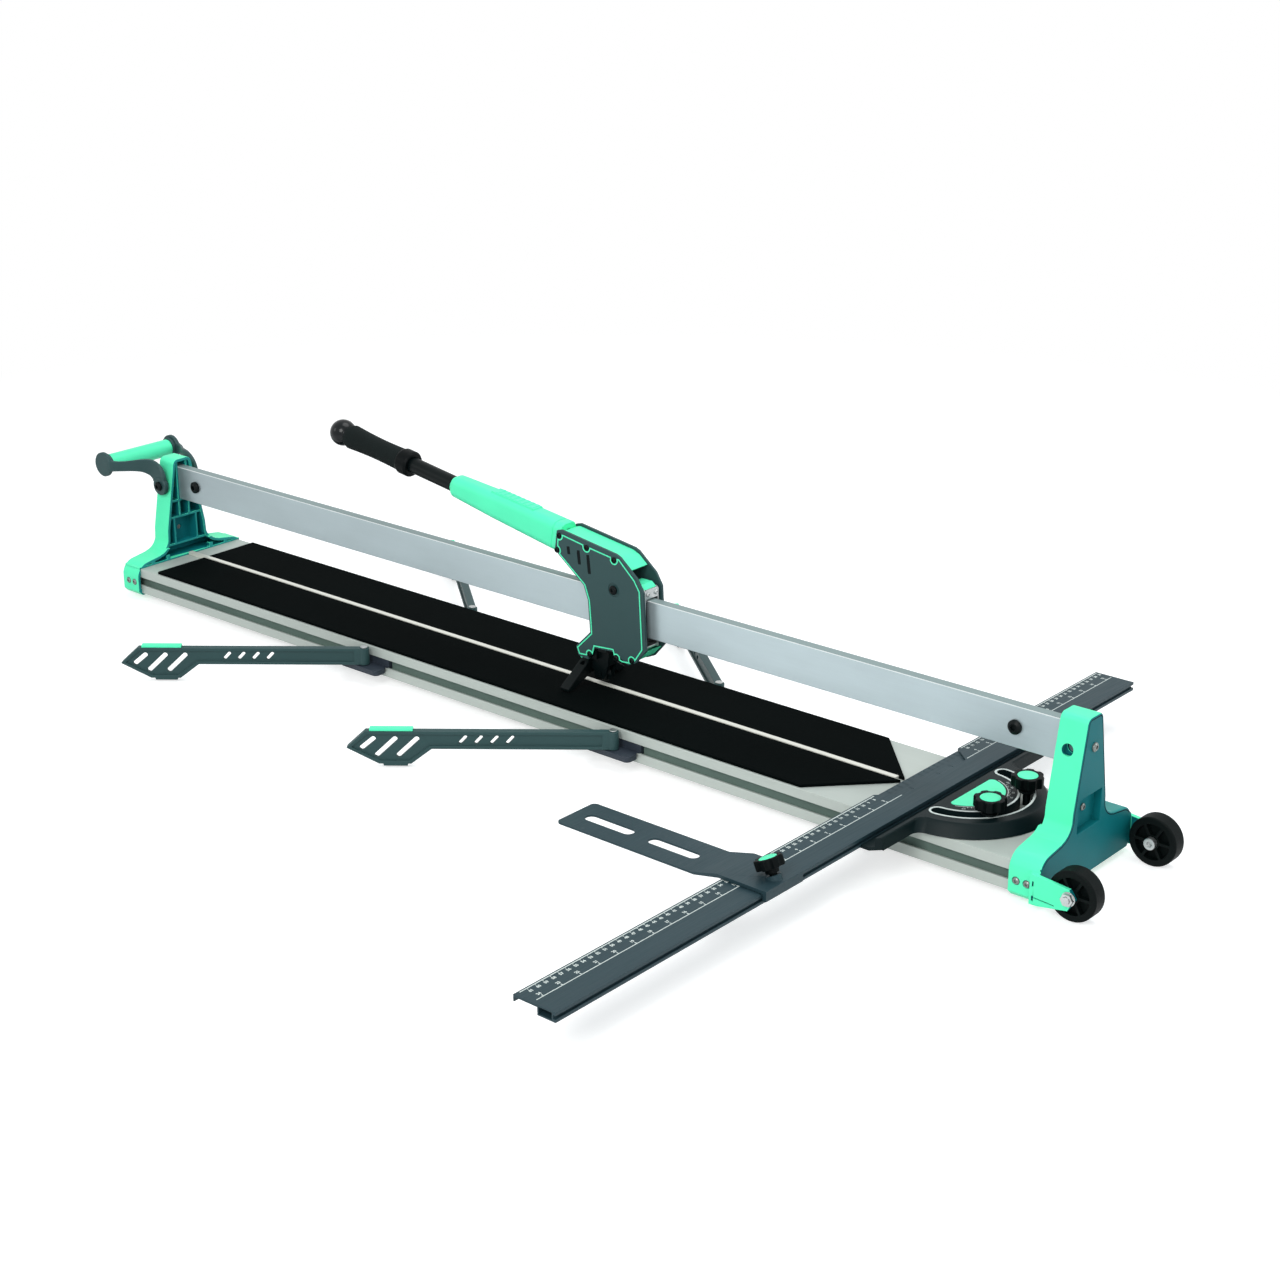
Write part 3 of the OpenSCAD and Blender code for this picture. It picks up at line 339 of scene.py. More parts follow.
# radius of the rounded edges in millimetres
EDGE_RADIUS = {
    "centre_strip": 0.4, "mats": 0.5, "foot_strips": 0.5,
    "rail_stop_bolts": 0.3, "axle_bolts": 0.3, "arm_blocks": 0.6, "arm_pins": 0.3,
    "guide_pivot_pin": 0.2, "handle_bolts": 0.3, "wheel_front": 0.5,
    "wheel_back": 0.5, "carry_grip": 1.0,
    "support_arm_fl": 0.5, "support_arm_fr": 0.5, "support_arm_bl": 0.5, "support_arm_br": 0.5,
    "arm_pad_fl": 0.8, "arm_pad_fr": 0.8, "arm_pad_bl": 0.8, "arm_pad_br": 0.8,
    "frame_plates": 0.3, "guide_block": 0.5, "guide_pads": 0.4, "roller_pins": 0.2,
    "roller_left": 0.3, "roller_right": 0.3, "head_pivot_bolt": 0.3, "head_plate_front": 0.6,
    "head_plate_back": 0.6, "lever_block": 0.6, "lower_core": 0.5, "plate_screws": 0.2,
    "lever_tube": 0.3, "hand_grip": 0.6, "grip_collar": 0.6, "grip_ball": 0,
    "wheel_holder": 0.5, "foot_mount": 0.5,
    "breaker_foot": 1.0, "ruler": 0.25, "protractor": 0.5, "protractor_inlay": 0.15,
    "clamp_knob_front": 1.0, "clamp_knob_back": 1.0, "clamp_cap_front": 0.3, "clamp_cap_back": 0.3,
    "stop_bar": 0.4, "stop_knob": 1.0, "stop_cap": 0.3,
}
for node_name, edge_radius in EDGE_RADIUS.items():
    dress(node_name, edge_radius)
for node_name, edge_radius in (("knob_studs", 0.3), ("scoring_wheel", 0), ("holder_pins", 0.3)):
    dress(node_name, edge_radius, material="black_steel")
dress("bracket_screws", 0.2, material="screw_steel")


BED_FLOOR, BED_TOP = lowest("base_extrusion").z, highest("base_extrusion").z
CORE_Y = (highest("base_extrusion").y + 0.5) * MM
GROOVE_Y = (highest("groove_rails").y - 2.7) * MM
GROOVE_LOW, GROOVE_HIGH = (BED_FLOOR + 8.9) * MM, (BED_FLOOR + 27.1) * MM


def groove_faces(face, tree):
    """The inside of a side groove gets painted shade, the rest of the bed keeps its bright colour."""
    centre = face.calc_center_median()
    return 1 if abs(centre.y) < GROOVE_Y and GROOVE_LOW < centre.z < GROOVE_HIGH else 0


def outside_edge(edge):
    """Picks the edges that don't lie against the bed's core."""
    return min(abs(v.co.y) for v in edge.verts) > CORE_Y


dress("base_extrusion", 0, second=["bed_shade"], classify=groove_faces)
dress("groove_rails", 0.5, only=outside_edge, second=["bed_shade"], classify=groove_faces)


def rail_faces(face, tree):
    """The rail's top face is duller than its brushed sides, and its rounded edges carry a painted highlight."""
    if face.normal.z > 0.9:
        return 1
    return 2 if face.normal.z > 0.3 else 0


dress("rail", 1.1, second=["rail_top", "rail_edge_highlight"], classify=rail_faces)

# the end face lies this far outside the end of the bed's core
SOCKET_WALL = 8
BRACKET_END = (highest("base_extrusion").x + SOCKET_WALL) * MM
WHEEL_ARM_X, WHEEL_ARM_Y = BRACKET_END - 9.5 * MM, highest("bracket_right").y * MM
RIM_X = (lowest("bracket_right").x + 7) * MM
SHOULDER_LOW, SHOULDER_HIGH, SHOULDER_Y = BED_TOP * MM, (BED_TOP + 21) * MM, 34 * MM
FOOT_TOP = (BED_TOP + 1) * MM
RECESS_Y, RECESS_LOW, RECESS_HIGH = 24.5 * MM, 58.5 * MM, 98.5 * MM
TOP_SCREW_Z, TOP_SCREW_REACH = middle_of("rail").z * MM, 6 * MM
SLIT_LEAST, SLIT_MOST = 0.5 * MM, 1.1 * MM
RAY_START, RAY_REACH = 0.1 * MM, 250 * MM
NEAR = 0.02 * MM


def in_recess(point):
    """Whether a point lies in the box-shaped recess of an end face."""
    return abs(point.y) < RECESS_Y and RECESS_LOW < point.z < RECESS_HIGH


def at_top_screw(point):
    """Whether a point lies at the screw that holds the rail's end."""
    return abs(point.y) < TOP_SCREW_REACH and abs(point.z - TOP_SCREW_Z) < TOP_SCREW_REACH


def edge_middle(edge):
    return (edge.verts[0].co + edge.verts[1].co) / 2


def bracket_faces(face, tree):
    """Mint on the outer band; sea green on the end faces, partly their own colour and partly painted shade;
    painted shade in every pocket, and a dark painted shadow in the slits.

    The rims and ribs that face the bed get a lighter sea green as painted light, and the far shoulder's top gets
    it as painted shade.
    """
    centre, normal = face.calc_center_median(), face.normal
    depth = WHEEL_ARM_Y - abs(centre.y)
    # painted shadow: the sides of the wheel arm's slits are dark
    if SLIT_LEAST < depth < SLIT_MOST and abs(normal.y) > 0.9 and centre.x > WHEEL_ARM_X:
        return 2
    # painted light: the rims and ribs that face the bed get the lighter sea green
    if normal.x * centre.x < 0 and abs(normal.x) > 0.6 and abs(centre.x) < RIM_X:
        return 3
    # painted shade: the far shoulder's top gets the lighter sea green
    on_shoulder = centre.y > SHOULDER_Y and SHOULDER_LOW < centre.z < SHOULDER_HIGH
    if centre.x > 0 and on_shoulder and normal.z > 0.5:
        return 3
    # sea green on the end faces and in the recess, partly own colour and partly painted shade; painted shade on
    # every face that looks into a pocket
    if abs(normal.x) > 0.6 or in_recess(centre):
        return 1
    hit = tree.ray_cast(centre + normal * RAY_START, normal, RAY_REACH)[0]
    return 1 if hit else 0


def outer_rim(edge):
    """Picks the edges between the right bracket's outer band and its end face."""
    if any(abs(v.co.x - BRACKET_END) > NEAR for v in edge.verts):
        return False
    middle = edge_middle(edge)
    return middle.z > FOOT_TOP and not in_recess(middle) and not at_top_screw(middle)


# the brackets' sea green with painted shade, the dark of the seam and the slits' painted shadow, and the lighter
# sea green of painted light
BRACKET_TONES_AND_SHADE = ("sea_paint_and_shade", "seam_and_shade_dark", "sea_painted_light")
dress("bracket_left", 0.6, second=BRACKET_TONES_AND_SHADE, classify=bracket_faces)
bracket_right = dress("bracket_right", 0.6, broad=(2.2, outer_rim), second=BRACKET_TONES_AND_SHADE,
                      classify=bracket_faces)

LINE_RAISE, LINE_WIDTH = Vector((0.04 * MM, 0, 0)), 1.1 * MM


def parting_line(bracket):
    """A dark line round the right end face, where the mint band meets the sea green."""
    shell = bmesh.new()
    shell.from_mesh(bracket.data)
    bm = bmesh.new()
    for edge in shell.edges:
        if len(edge.link_faces) != 2 or not outer_rim(edge):
            continue
        face, band = sorted(edge.link_faces, key=lambda f: -f.normal.x)
        if band.normal.x > 0.99 or face.normal.x < 0.99:
            continue
        along = (edge.verts[1].co - edge.verts[0].co).normalized()
        inward = edge_middle(edge) - band.calc_center_median()
        inward.x = 0
        inward = (inward - along * inward.dot(along)).normalized()
        a, b = (v.co + LINE_RAISE for v in edge.verts)
        quad = [a, b, b + inward * LINE_WIDTH, a + inward * LINE_WIDTH]
        if (quad[1] - quad[0]).cross(quad[2] - quad[1]).x < 0:
            quad.reverse()
        bm.faces.new([bm.verts.new(q) for q in quad])
    shell.free()
    # the parting line is a real dark seam
    place(bm, "bracket_parting_line", "seam_and_shade_dark", body_of_node["bracket_right"])


parting_line(bracket_right)


# ---------- meshes from paths and rings ----------

def flat(x, y, z):
    """A point given in millimetres."""
    return Vector((x, y, z)) * MM


def skin(bm, rings, ends=(True, True), loop=False):
    """Joins rings of equal size with faces; ends says whether the first and the last are capped."""
    made = []
    for a, b in zip(rings, rings[1:] + ([rings[0]] if loop else [])):
        for i in range(len(a)):
            j = (i + 1) % len(a)
            made.append(bm.faces.new((a[i], a[j], b[j], b[i])))
    if ends[0]:
        made.append(bm.faces.new(rings[0]))
    if ends[1]:
        made.append(bm.faces.new(rings[-1][::-1]))
    bmesh.ops.recalc_face_normals(bm, faces=made)


def arc(centre, radius, start, end, steps=10):
    """Points of an arc in degrees, from start to end."""
    return [(centre[0] + radius * math.cos(math.radians(start + (end - start) * i / steps)),
             centre[1] + radius * math.sin(math.radians(start + (end - start) * i / steps)))
            for i in range(steps + 1)]


def ribbon(bm, path, width, low, high, to_world, closed=False):
    """A flat bar of even width along a path in a plane, from level low to level high."""
    points = [Vector(p) for p in path]
    count = len(points)
    left, right = [], []
    for i, p in enumerate(points):
        before = points[i - 1] if i or closed else None
        after = points[(i + 1) % count] if i < count - 1 or closed else None
        d1 = (p - before).normalized() if before else (after - p).normalized()
        d2 = (after - p).normalized() if after else d1
        n1, n2 = Vector((-d1.y, d1.x)), Vector((-d2.y, d2.x))
        side = (n1 + n2).normalized()
        side *= width / 2 / max(0.35, side.dot(n1))
        left.append(p + side)
        right.append(p - side)
    rings = [[bm.verts.new(to_world(q.x, q.y, h))
              for q, h in ((l, low), (l, high), (r, high), (r, low))] for l, r in zip(left, right)]
    skin(bm, rings, (not closed, not closed), loop=closed)


# ---------- trim on the head plates ----------

HEAD_PIVOT = joint_place("lever_hinge")
PLATE_OUT = highest("head_plate_back").y


def on_plate(side):
    """From the plane of a head plate, about the pivot, to the shared frame."""
    def to_world(u, v, h):
        return flat(HEAD_PIVOT.x + u, side * (PLATE_OUT + h), HEAD_PIVOT.z + v)
    return to_world


PLATE_LINE = (
    arc((-84.5, 49), 5.2, 15, -110, 8) + [(-86.6, 41)] + arc((-88, 30.5), 5.2, 75, -45, 8)
    + [(-83, 25.5), (-44.6, -3.2), (-37.6, -21.3), (-35.5, -46.5), (-34.4, -62.7), (-57, -85),
       (-54, -92.2)]
    + arc((-38, -89.5), 5, 200, 30, 10) + [(-31, -77), (-1, -74.3)] + arc((4, -84), 5, 130, -10, 8)
    + [(13, -86), (21.5, -85.2)] + arc((28, -81.5), 5, 225, 20, 10)
    + [(43.5, -64), (39.5, 6.5), (31.5, 18.5), (8.4, 39)] + arc((1, 37), 5.2, 20, -160, 10)
    + [(-4.5, 39.2), (-36, 43.6)] + arc((-41.5, 43), 5.2, -10, -170, 10) + [(-47, 45.3), (-77.5, 50.2)])

PLATE_SLOTS = (((-70.6, 38.5), (-69.2, 29)), ((-54.6, 37), (-52.6, 20)), ((-39.6, 34.5), (-37, 11.5)))


def plate_trim(side, node):
    """The mint line and the three slots, dark strips of painted shade, on the outer face of a head plate."""
    end = node.rsplit("_", 1)[1]
    line = bmesh.new()
    ribbon(line, PLATE_LINE, 1.5, -0.2, 0.35, on_plate(side), closed=True)
    place(line, "plate_line_" + end, "mint_plastic", body_of_node[node])
    # painted shade: dark strips lie where the slots' depths are
    slots = bmesh.new()
    for path in PLATE_SLOTS:
        ribbon(slots, path, 4.4, -0.4, 0.06, on_plate(side))
    place(slots, "plate_slot_shade_" + end, "seam_and_shade_dark", body_of_node[node])


plate_trim(-1, "head_plate_front")
plate_trim(1, "head_plate_back")


# ---------- printed and raised scales of the ruler ----------

def glyph_mesh(text, size, bold):
    """The flat outline of a number, centred, as vertices and faces."""
    curve = bpy.data.curves.new("number", "FONT")
    curve.body = text
    curve.size = size
    curve.offset = bold * size
    curve.align_x = "CENTER"
    curve.align_y = "CENTER"
    curve.resolution_u = 2
    thing = bpy.data.objects.new("number", curve)
    mesh = bpy.data.meshes.new_from_object(thing)
    verts = [v.co.xy.copy() for v in mesh.vertices]
    faces = [list(p.vertices) for p in mesh.polygons]
    bpy.data.objects.remove(thing)
    bpy.data.curves.remove(curve)
    bpy.data.meshes.remove(mesh)
    return verts, faces


GLYPHS = {}


def number(bm, value, size, at, level, turn, bold=0.0):
    """A flat number lying in XY at a point; turn is its baseline's angle."""
    key = (str(value), size, bold)
    if key not in GLYPHS:
        GLYPHS[key] = glyph_mesh(*key)
    verts, faces = GLYPHS[key]
    c, s = math.cos(math.radians(turn)), math.sin(math.radians(turn))
    made = [bm.verts.new(flat(at[0] + v.x * c - v.y * s, at[1] + v.x * s + v.y * c, level))
            for v in verts]
    for f in faces:
        bm.faces.new([made[i] for i in f])


FENCE_X, FENCE_TOP = lowest("ruler").x, highest("ruler").z
LAND_TOP = FENCE_TOP - 2.2
RULER_ENDS = (lowest("ruler").y, highest("ruler").y)
# the stretch of the ruler that is cut away above the bed
CUT = (-71, 93)
PRINT_HALF = 0.05
CM, INCH = 10, 25.4
# distances from the reference edge: where a mark starts and ends, and its number's middle
CM_MARK, CM_NUMBER = (2.6, 4.6), 8.0
INCH_MARK, INCH_NUMBER = (20.0, 22.6), 17.0


def printed_runs(inset):
    """The two stretches of the ruler outside the cut-out."""
    return ((RULER_ENDS[0] + 6, CUT[0] - 2 + inset), (CUT[1] + 2 - inset * 0.9, RULER_ENDS[1] - 4))


def counts(pitch):
    """The counts of the marks of one pitch that lie between the ruler's ends."""
    return range(int(RULER_ENDS[0] / pitch), int(RULER_ENDS[1] / pitch) + 1)


def mark(bm, y, across, width, level, depth):
    """A mark across the ruler, between two distances from its reference edge."""
    ribbon(bm, [(FENCE_X + a, y) for a in across], width, level - depth, level + depth, flat)


def scale_marks(bm, low, high, level, depth, size):
    """Centimetre and inch marks with numbers along the ruler, counted from the cutting line."""
    for count in counts(CM):
        y = count * CM
        if not low < y < high:
            continue
        mark(bm, y, CM_MARK, 0.9, level, depth)
        if count:
            number(bm, abs(count), size, (FENCE_X + CM_NUMBER, y), level + depth, 90, bold=0.05)
    for count in counts(INCH):
        y = count * INCH
        if low < y < high and count:
            mark(bm, y, INCH_MARK, 1.1, level, depth)
            number(bm, abs(count), size, (FENCE_X + INCH_NUMBER, y), level + depth, 90, bold=0.045)


def edge_line(bm, x, low, high, width):
    """A printed line along the ruler."""
    path = [(FENCE_X + x, low), (FENCE_X + x, high)]
    ribbon(bm, path, width, FENCE_TOP - PRINT_HALF, FENCE_TOP + PRINT_HALF, flat)


def ruler_scales():
    """The printed scale outside the cut-away stretch and the raised one inside it."""
    bm = bmesh.new()
    for low, high in printed_runs(0):
        edge_line(bm, 2.4, low, high, 1.3)
        scale_marks(bm, low, high, FENCE_TOP, PRINT_HALF, 4.8)
    for low, high in printed_runs(22):
        edge_line(bm, 23, low, high, 1.0)
    place(bm, "ruler_scale", "scale_print", body_of_node["ruler"])
    bm = bmesh.new()
    scale_marks(bm, CUT[0] + 5, CUT[1] - 5, LAND_TOP, 0.25, 5.2)
    place(bm, "ruler_raised_scale", "slate_aluminium", body_of_node["ruler"])


ruler_scales()


# ---------- protractor ----------

DISC_X, DISC_TOP = joint_place("guide_swivel").x, highest("protractor").z


def on_disc(u, v, h):
    return flat(DISC_X + u, v, DISC_TOP + h)


def slot_outline(grow):
    """The curved slot's outline, grown by some millimetres."""
    half, centre_r, r = 84, 64, 6.5 + grow
    end = (centre_r * math.cos(math.radians(half)), centre_r * math.sin(math.radians(half)))
    return (arc((0, 0), centre_r + r, -half, half, 48) + arc(end, r, half, half + 180, 10)[1:]
            + arc((0, 0), centre_r - r, half, -half, 40)[1:]
            + arc((end[0], -end[1]), r, -half - 180, -half, 10)[1:-1])


# radii of the ring, of its numbers and of the ends of the marks, which are shorter under a number
DEGREE_RING, NUMBER_RING, LONG_END, SHORT_END = 44.4, 50.0, 47.2, 45.8
# the print's underside and top, from the disc's top
PRINT_LOW, PRINT_TOP = -0.1, 0.08


def protractor_scale():
    """The light outline of the curved slot, and the degree marks with their numbers."""
    bm = bmesh.new()
    ribbon(bm, slot_outline(1.9), 2.4, -0.3, 0.3, on_disc, closed=True)
    ribbon(bm, arc((0, 0), DEGREE_RING, -72, 72, 48), 0.7, PRINT_LOW, PRINT_TOP, on_disc)
    for degree in range(-60, 61, 5):
        reach = LONG_END if degree % 15 else SHORT_END
        c, s = math.cos(math.radians(degree)), math.sin(math.radians(degree))
        path = [(DEGREE_RING * c, DEGREE_RING * s), (reach * c, reach * s)]
        ribbon(bm, path, 0.6, PRINT_LOW, PRINT_TOP, on_disc)
        if degree % 15 == 0:
            at = (DISC_X + NUMBER_RING * c, NUMBER_RING * s)
            number(bm, abs(degree), 4.4, at, DISC_TOP + PRINT_TOP, degree + 90)
    place(bm, "protractor_scale", "scale_print", body_of_node["protractor"])


protractor_scale()


WING_EDGE, INSIDE, DISC_R = DISC_X + 2.3, DISC_X - 3, 95
# depth below the disc's top, step in from the wing's edge and step in from the disc's edge
CORNER_LEVELS = ((13.7, 0, 0), (1.5, 2, 8.5), (0.05, 3.2, 10.5))


def corner_outline(edge, radius, side, blend=11.0):
    """The corner beside a wing edge at x and a disc of that radius, blended by a hollow arc."""
    cx = edge + blend - DISC_X
    cy = math.sqrt((radius + blend) ** 2 - cx ** 2)
    turn = math.degrees(math.atan2(cy, cx))
    points = [(INSIDE, cy)] + arc((edge + blend, cy), blend, 180, 180 + turn, 12) + [(INSIDE, cy - 30)]
    return [(x, side * y) for x, y in points]


def protractor_corners():
    """The hollow corners between the disc and its wings, stepped in towards the top as the disc is."""
    bm = bmesh.new()
    for side in (-1, 1):
        rings = []
        for down, step, slope in CORNER_LEVELS:
            outline = corner_outline(WING_EDGE - step, DISC_R - slope, side)
            rings.append([bm.verts.new(flat(x, y, DISC_TOP - down)) for x, y in outline])
        skin(bm, rings)
    smooth_by_angle(bm, math.radians(30))
    place(bm, "protractor_corners", "dark_cast", body_of_node["protractor"])


protractor_corners()


# ---------- carry handle arms ----------

def smooth_stations(points, steps=4):
    """Rows of numbers on a smooth curve through the given rows."""
    rows = [Vector(p) for p in points]
    out = []
    for i in range(len(rows) - 1):
        a, b, c, d = (rows[min(max(k, 0), len(rows) - 1)] for k in (i - 1, i, i + 1, i + 2))
        for j in range(steps):
            t = j / steps
            out.append((b * 2 + (c - a) * t + (a * 2 - b * 5 + c * 4 - d) * t ** 2
                        + (b * 3 - a - c * 3 + d) * t ** 3) / 2)
    return out + [rows[-1]]


TURNS = [math.pi * i / 24 for i in range(48)]


def turned_y(bm, x, z, side, profile, bored=False):
    """A body turned about an axis along Y, from (radius, y) points; a bored one is a closed ring."""
    rings = [[bm.verts.new(flat(x + radius * math.cos(turn), side * y, z + radius * math.sin(turn)))
              for turn in TURNS] for radius, y in profile]
    skin(bm, rings, (not bored, not bored), loop=bored)


BOSS, GRIP = joint_place("carry_handle_hinge"), middle_of("carry_grip")
# the arm's middle line, as x and z from the boss and the inner y, and its half width
ARM_PATH = (
    (-2, 6.6, 25, 12.4), (-3.5, 13, 25, 13), (-8, 19, 25.4, 13.2), (-16, 23.6, 27.5, 11.8),
    (-27, 25.4, 32.5, 9.2), (-38, 24.8, 39.5, 7.6), (-49, 23.6, 47, 6.9), (-60, 22.8, 53.5, 7.0),
    (-70, 22.3, 56, 8.2), (-81, 22, 56, 10.5))
ARM_THICK, ARM_CHAMFER = 6, 1.4
# turned parts as radius and y
BOSS_RING = ((4.3, 25), (12.2, 25), (13, 25.8), (13, 30.7), (12.2, 31.5), (4.3, 31.5))
END_DISC = ((16, 56), (17, 57), (17, 61), (16, 62))
GRIP_COLLAR = ((13.4, 52), (14, 52.6), (14, 56.5))


def arm_section(half):
    """A flat bar's section with broken corners, as offsets across its width and thickness."""
    inner, outer = ARM_CHAMFER, ARM_THICK - ARM_CHAMFER
    face = half - ARM_CHAMFER
    return ((half, inner), (face, 0), (-face, 0), (-half, inner),
            (-half, outer), (-face, ARM_THICK), (face, ARM_THICK), (half, outer))


def curved_arm(bm, side):
    """One arm's bar, swept along its path from the boss to the grip."""
    stations = smooth_stations(ARM_PATH)
    rings = []
    for i, (x, z, y, half) in enumerate(stations):
        a, b = stations[max(i - 1, 0)], stations[min(i + 1, len(stations) - 1)]
        along = Vector((b[0] - a[0], b[1] - a[1])).normalized()
        across = Vector((-along.y, along.x))
        x, z = BOSS.x + x, BOSS.z + z
        rings.append([bm.verts.new(flat(x + across.x * u, side * (y + v), z + across.y * u))
                      for u, v in arm_section(half)])
    skin(bm, rings)


def handle_arms():
    """Both arms of the carry handle, with their bosses, end discs and collars."""
    bm = bmesh.new()
    for side in (-1, 1):
        curved_arm(bm, side)
        turned_y(bm, BOSS.x, BOSS.z, side, BOSS_RING, bored=True)
        turned_y(bm, GRIP.x, GRIP.z, side, END_DISC)
        turned_y(bm, GRIP.x, GRIP.z, side, GRIP_COLLAR)
    smooth_by_angle(bm, SMOOTH_ANGLE)
    piece = place(bm, "handle_arm_castings", "teal_paint", body_of_node["handle_arms"])
    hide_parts("handle_arms")


handle_arms()


# ---------- lever sleeve ----------

# the lever's axis: its height at X = 0 and its slope
LEVER_Z, LEVER_TILT = 224.9 * MM, 8.6
LEVER = Matrix.Translation((0, 0, LEVER_Z)) @ Matrix.Rotation(math.radians(LEVER_TILT - 90), 4, "Y")


def on_lever(x, y, t):
    return LEVER @ (Vector((x, y, t)) * MM)


def round_section(height, width, corner, drop, steps=8):
    """Points of a rounded rectangle, height along x and width along y."""
    hx, hy = height / 2 - corner, width / 2 - corner
    out = []
    for cx, cy, start in ((hx, hy, 0), (-hx, hy, 90), (-hx, -hy, 180), (hx, -hy, 270)):
        out += arc((cx - drop, cy), corner, start, start + 90, steps)
    return out


def loft(bm, sections, ends=(True, True)):
    """Skins rings along the lever; each section is (t, points)."""
    skin(bm, [[bm.verts.new(on_lever(x, y, t)) for x, y in points] for t, points in sections], ends)


SLEEVE_WAIST, SLEEVE_HEIGHT, SLEEVE_WIDTH = 96, 33, 28
WAIST_TO_GRIP, WAIST_TO_HEAD = 66, 115


def sleeve_at(t, shrink=0.0, corner=9.5):
    """The sleeve's section at t along the lever, deeper towards the head."""
    if t > SLEEVE_WAIST:
        k = (t - SLEEVE_WAIST) / WAIST_TO_GRIP
        height, width, drop = SLEEVE_HEIGHT - 6 * k, SLEEVE_WIDTH - 2 * k, 0
    else:
        k = (SLEEVE_WAIST - t) / WAIST_TO_HEAD
        height, width, drop = SLEEVE_HEIGHT + 5 * k, SLEEVE_WIDTH + k, k
    return (t, round_section(height - shrink, width - shrink, corner - shrink / 2, drop))


TUBE_BORE = 10.15
# stations along the lever, and how much the section shrinks there
SLEEVE_STATIONS = (
    (-19, 1.6), (-18.2, 0.4), (-17.5, 0), (-9, 0), (-8.4, 0.4), (-8.2, 1.8), (-6.8, 1.8), (-6.6, 0.4),
    (-6, 0), (10, 0), (30, 0), (50, 0), (70, 0), (90, 0), (96, 0), (102, 0), (120, 0), (140, 0),
    (155, 0), (162, 0), (163.6, 0.5), (165, 1.6), (166.3, 3.4))


def sleeve_moulding():
    """The sleeve, with a groove near the head and a bored end for the tube."""
    bm = bmesh.new()
    rings = [sleeve_at(t, shrink) for t, shrink in SLEEVE_STATIONS]
    rings.append(sleeve_at(167.3, 5.4, 9.8))
    bore = [tuple(Vector(q).normalized() * TUBE_BORE) for q in round_section(26, 26, 12.9, 0)]
    rings += [(167.9, [(x * 1.06, y * 1.06) for x, y in bore]), (167.9, bore), (158, bore)]
    loft(bm, rings, (True, False))
    smooth_by_angle(bm, math.radians(50))
    piece = place(bm, "lever_sleeve_moulding", "mint_plastic", body_of_node["lever_sleeve"])
    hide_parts("lever_sleeve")


# one long pad with eight raised bars across it, as start, end, half width and height
PADS = [(31, 101, 8.4, 1.3)] + [(34 + i * 8, 39 + i * 8, 7.6, 2.1) for i in range(8)]


def sleeve_top(t):
    """Height of the sleeve's top above the lever's axis, where the thumb pad lies."""
    return 17.35 - (t - 34) / 64 * 0.95


def thumb_pad():
    """The raised pad on top of the sleeve, with its bars."""
    bm = bmesh.new()
    for low, high, half, top in PADS:
        sections = []
        for t, h, w in ((low, -1, 1.0), (low + 0.2, top - 0.5, 1.0), (low + 0.8, top, 0.93),
                        (high - 0.8, top, 0.93), (high - 0.2, top - 0.5, 1.0), (high, -1, 1.0)):
            up = sleeve_top(t)
            level, across = up + h, half * w
            sections.append((t, [(level, 0.4 - across), (level, across - 0.4), (level - 0.4, across),
                                 (up - 3, across), (up - 3, -across), (level - 0.4, -across)]))
        loft(bm, sections)
    smooth_by_angle(bm, math.radians(35))
    place(bm, "sleeve_thumb_pad", "mint_plastic", body_of_node["lever_sleeve"])


sleeve_moulding()
thumb_pad()


# ---------- stage, light and camera ----------

def camera_ray_mix(tree, seen, hidden):
    """Joins seen for camera, mirror and glass rays, and hidden for every other ray."""
    path = tree.nodes.new("ShaderNodeLightPath")
    last = path.outputs["Is Camera Ray"]
    for kind in ("Is Glossy Ray", "Is Transmission Ray"):
        either = tree.nodes.new("ShaderNodeMath")
        either.operation = "MAXIMUM"
        tree.links.new(last, either.inputs[0])
        tree.links.new(path.outputs[kind], either.inputs[1])
        last = either.outputs[0]
    mix = tree.nodes.new("ShaderNodeMixShader")
    tree.links.new(last, mix.inputs["Fac"])
    tree.links.new(hidden, mix.inputs[1])
    tree.links.new(seen, mix.inputs[2])
    return mix.outputs[0]


def make_world():
    world = bpy.data.worlds.new("studio")
    bpy.context.scene.world = world
    world.use_nodes = True
    tree = world.node_tree
    out = tree.nodes["World Output"]
    fill = tree.nodes["Background"]
    fill.inputs["Color"].default_value = (0.86, 0.95, 1.0, 1.0)
    fill.inputs["Strength"].default_value = 0.44
    seen = tree.nodes.new("ShaderNodeBackground")
    seen.inputs["Color"].default_value = (1, 1, 1, 1)
    seen.inputs["Strength"].default_value = 1.0
    tree.links.new(camera_ray_mix(tree, seen.outputs[0], fill.outputs[0]), out.inputs["Surface"])


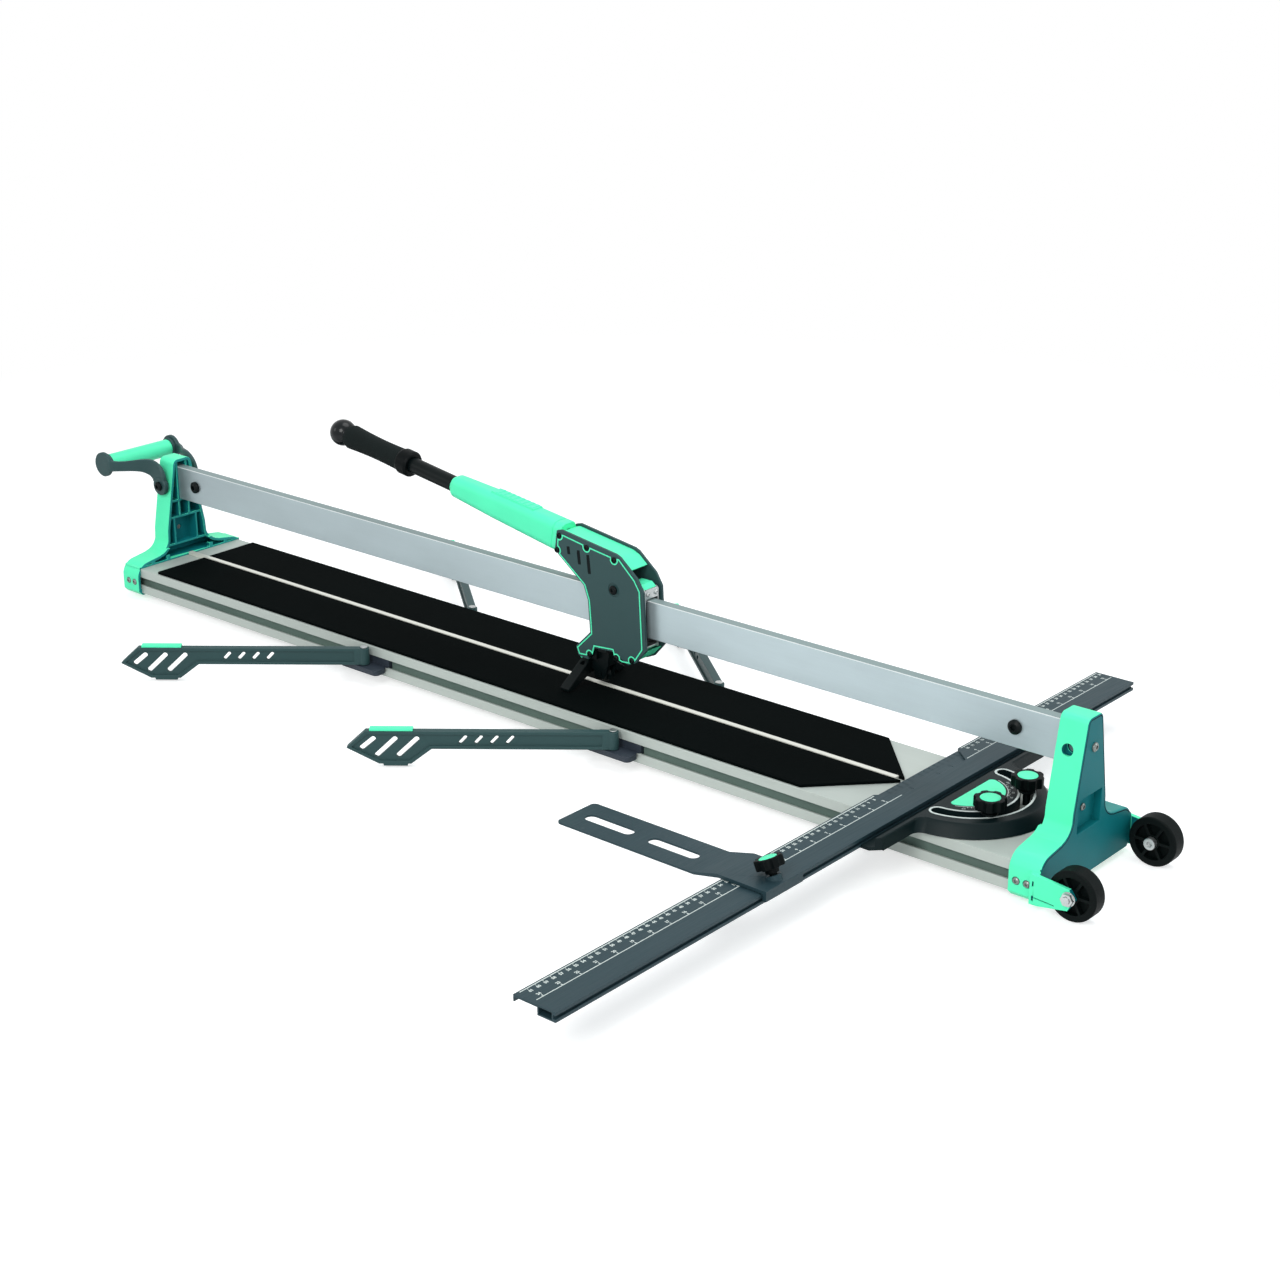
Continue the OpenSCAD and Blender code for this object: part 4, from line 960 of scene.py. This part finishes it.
def make_floor():
    """A white floor that keeps the shadow near the cutter and is plain white further out."""
    grey = 0.66
    bm = bmesh.new()
    bmesh.ops.create_grid(bm, x_segments=1, y_segments=1, size=12.0)
    mesh = bpy.data.meshes.new("floor")
    bm.to_mesh(mesh)
    bm.free()
    floor = bpy.data.objects.new("floor", mesh)
    bpy.context.scene.collection.objects.link(floor)
    mat = bpy.data.materials.new("floor")
    mat.use_nodes = True
    tree = mat.node_tree
    bsdf = tree.nodes["Principled BSDF"]
    bsdf.inputs["Base Color"].default_value = (grey, grey, grey, 1)
    bsdf.inputs["Roughness"].default_value = 0.9
    bsdf.inputs["Specular IOR Level"].default_value = 0.1
    glow = tree.nodes.new("ShaderNodeEmission")
    glow.inputs["Strength"].default_value = 0.6
    near = tree.nodes.new("ShaderNodeAddShader")
    tree.links.new(bsdf.outputs[0], near.inputs[0])
    tree.links.new(glow.outputs[0], near.inputs[1])
    plain = tree.nodes.new("ShaderNodeEmission")
    where = tree.nodes.new("ShaderNodeTexCoord")
    reach = tree.nodes.new("ShaderNodeVectorMath")
    reach.operation = "LENGTH"
    tree.links.new(where.outputs["Object"], reach.inputs[0])
    fade = tree.nodes.new("ShaderNodeMapRange")
    fade.inputs["From Min"].default_value = 1.0
    fade.inputs["From Max"].default_value = 2.0
    tree.links.new(reach.outputs["Value"], fade.inputs["Value"])
    blend = tree.nodes.new("ShaderNodeMixShader")
    tree.links.new(fade.outputs["Result"], blend.inputs["Fac"])
    tree.links.new(near.outputs[0], blend.inputs[1])
    tree.links.new(plain.outputs[0], blend.inputs[2])
    seen = camera_ray_mix(tree, blend.outputs[0], bsdf.outputs[0])
    tree.links.new(seen, tree.nodes["Material Output"].inputs["Surface"])
    mesh.materials.append(mat)


def area_light(name, at, target, size, power, colour=(1, 1, 1)):
    data = bpy.data.lights.new(name, "AREA")
    data.shape = "DISK"
    data.size = size
    data.energy = power
    data.color = colour
    lamp = bpy.data.objects.new(name, data)
    bpy.context.scene.collection.objects.link(lamp)
    lamp.location = at
    lamp.rotation_euler = (Vector(target) - Vector(at)).to_track_quat("-Z", "Y").to_euler()


def make_camera():
    """The camera, a little above the cutter and to the right of its front."""
    yaw, pitch, roll = 0.70572, 0.36108, -0.00116
    level_part = math.cos(pitch)
    forward = Vector((-math.sin(yaw) * level_part, math.cos(yaw) * level_part, -math.sin(pitch)))
    level = Vector((math.cos(yaw), math.sin(yaw), 0))
    upright = level.cross(forward)
    right = math.cos(roll) * level + math.sin(roll) * upright
    up = -math.sin(roll) * level + math.cos(roll) * upright
    data = bpy.data.cameras.new("camera")
    data.sensor_width = 36.0
    data.lens = 64.21
    data.clip_end = 60.0
    camera = bpy.data.objects.new("camera", data)
    bpy.context.scene.collection.objects.link(camera)
    turn = Matrix((right, up, -forward)).transposed()
    camera.matrix_world = Matrix.Translation((1.7565, -1.9067, 1.0641)) @ turn.to_4x4()
    bpy.context.scene.camera = camera


make_world()
make_floor()
area_light("key", (1.0, -2.9, 2.3), (0, 0, 0.1), 1.8, 68.0, (1.0, 0.99, 0.97))
area_light("left", (-2.4, -2.4, 1.6), (-0.6, 0, 0.1), 1.2, 9.0)
area_light("side", (2.6, -2.2, 1.2), (0.6, 0, 0.1), 1.2, 12.0)
area_light("top", (0.3, 0.8, 3.2), (0, 0, 0.1), 2.4, 46.0)
area_light("rim", (2.6, 1.8, 1.4), (0.2, 0, 0.1), 1.4, 16.0, (0.9, 0.96, 1.0))
make_camera()
bpy.context.scene.view_settings.view_transform = "Standard"
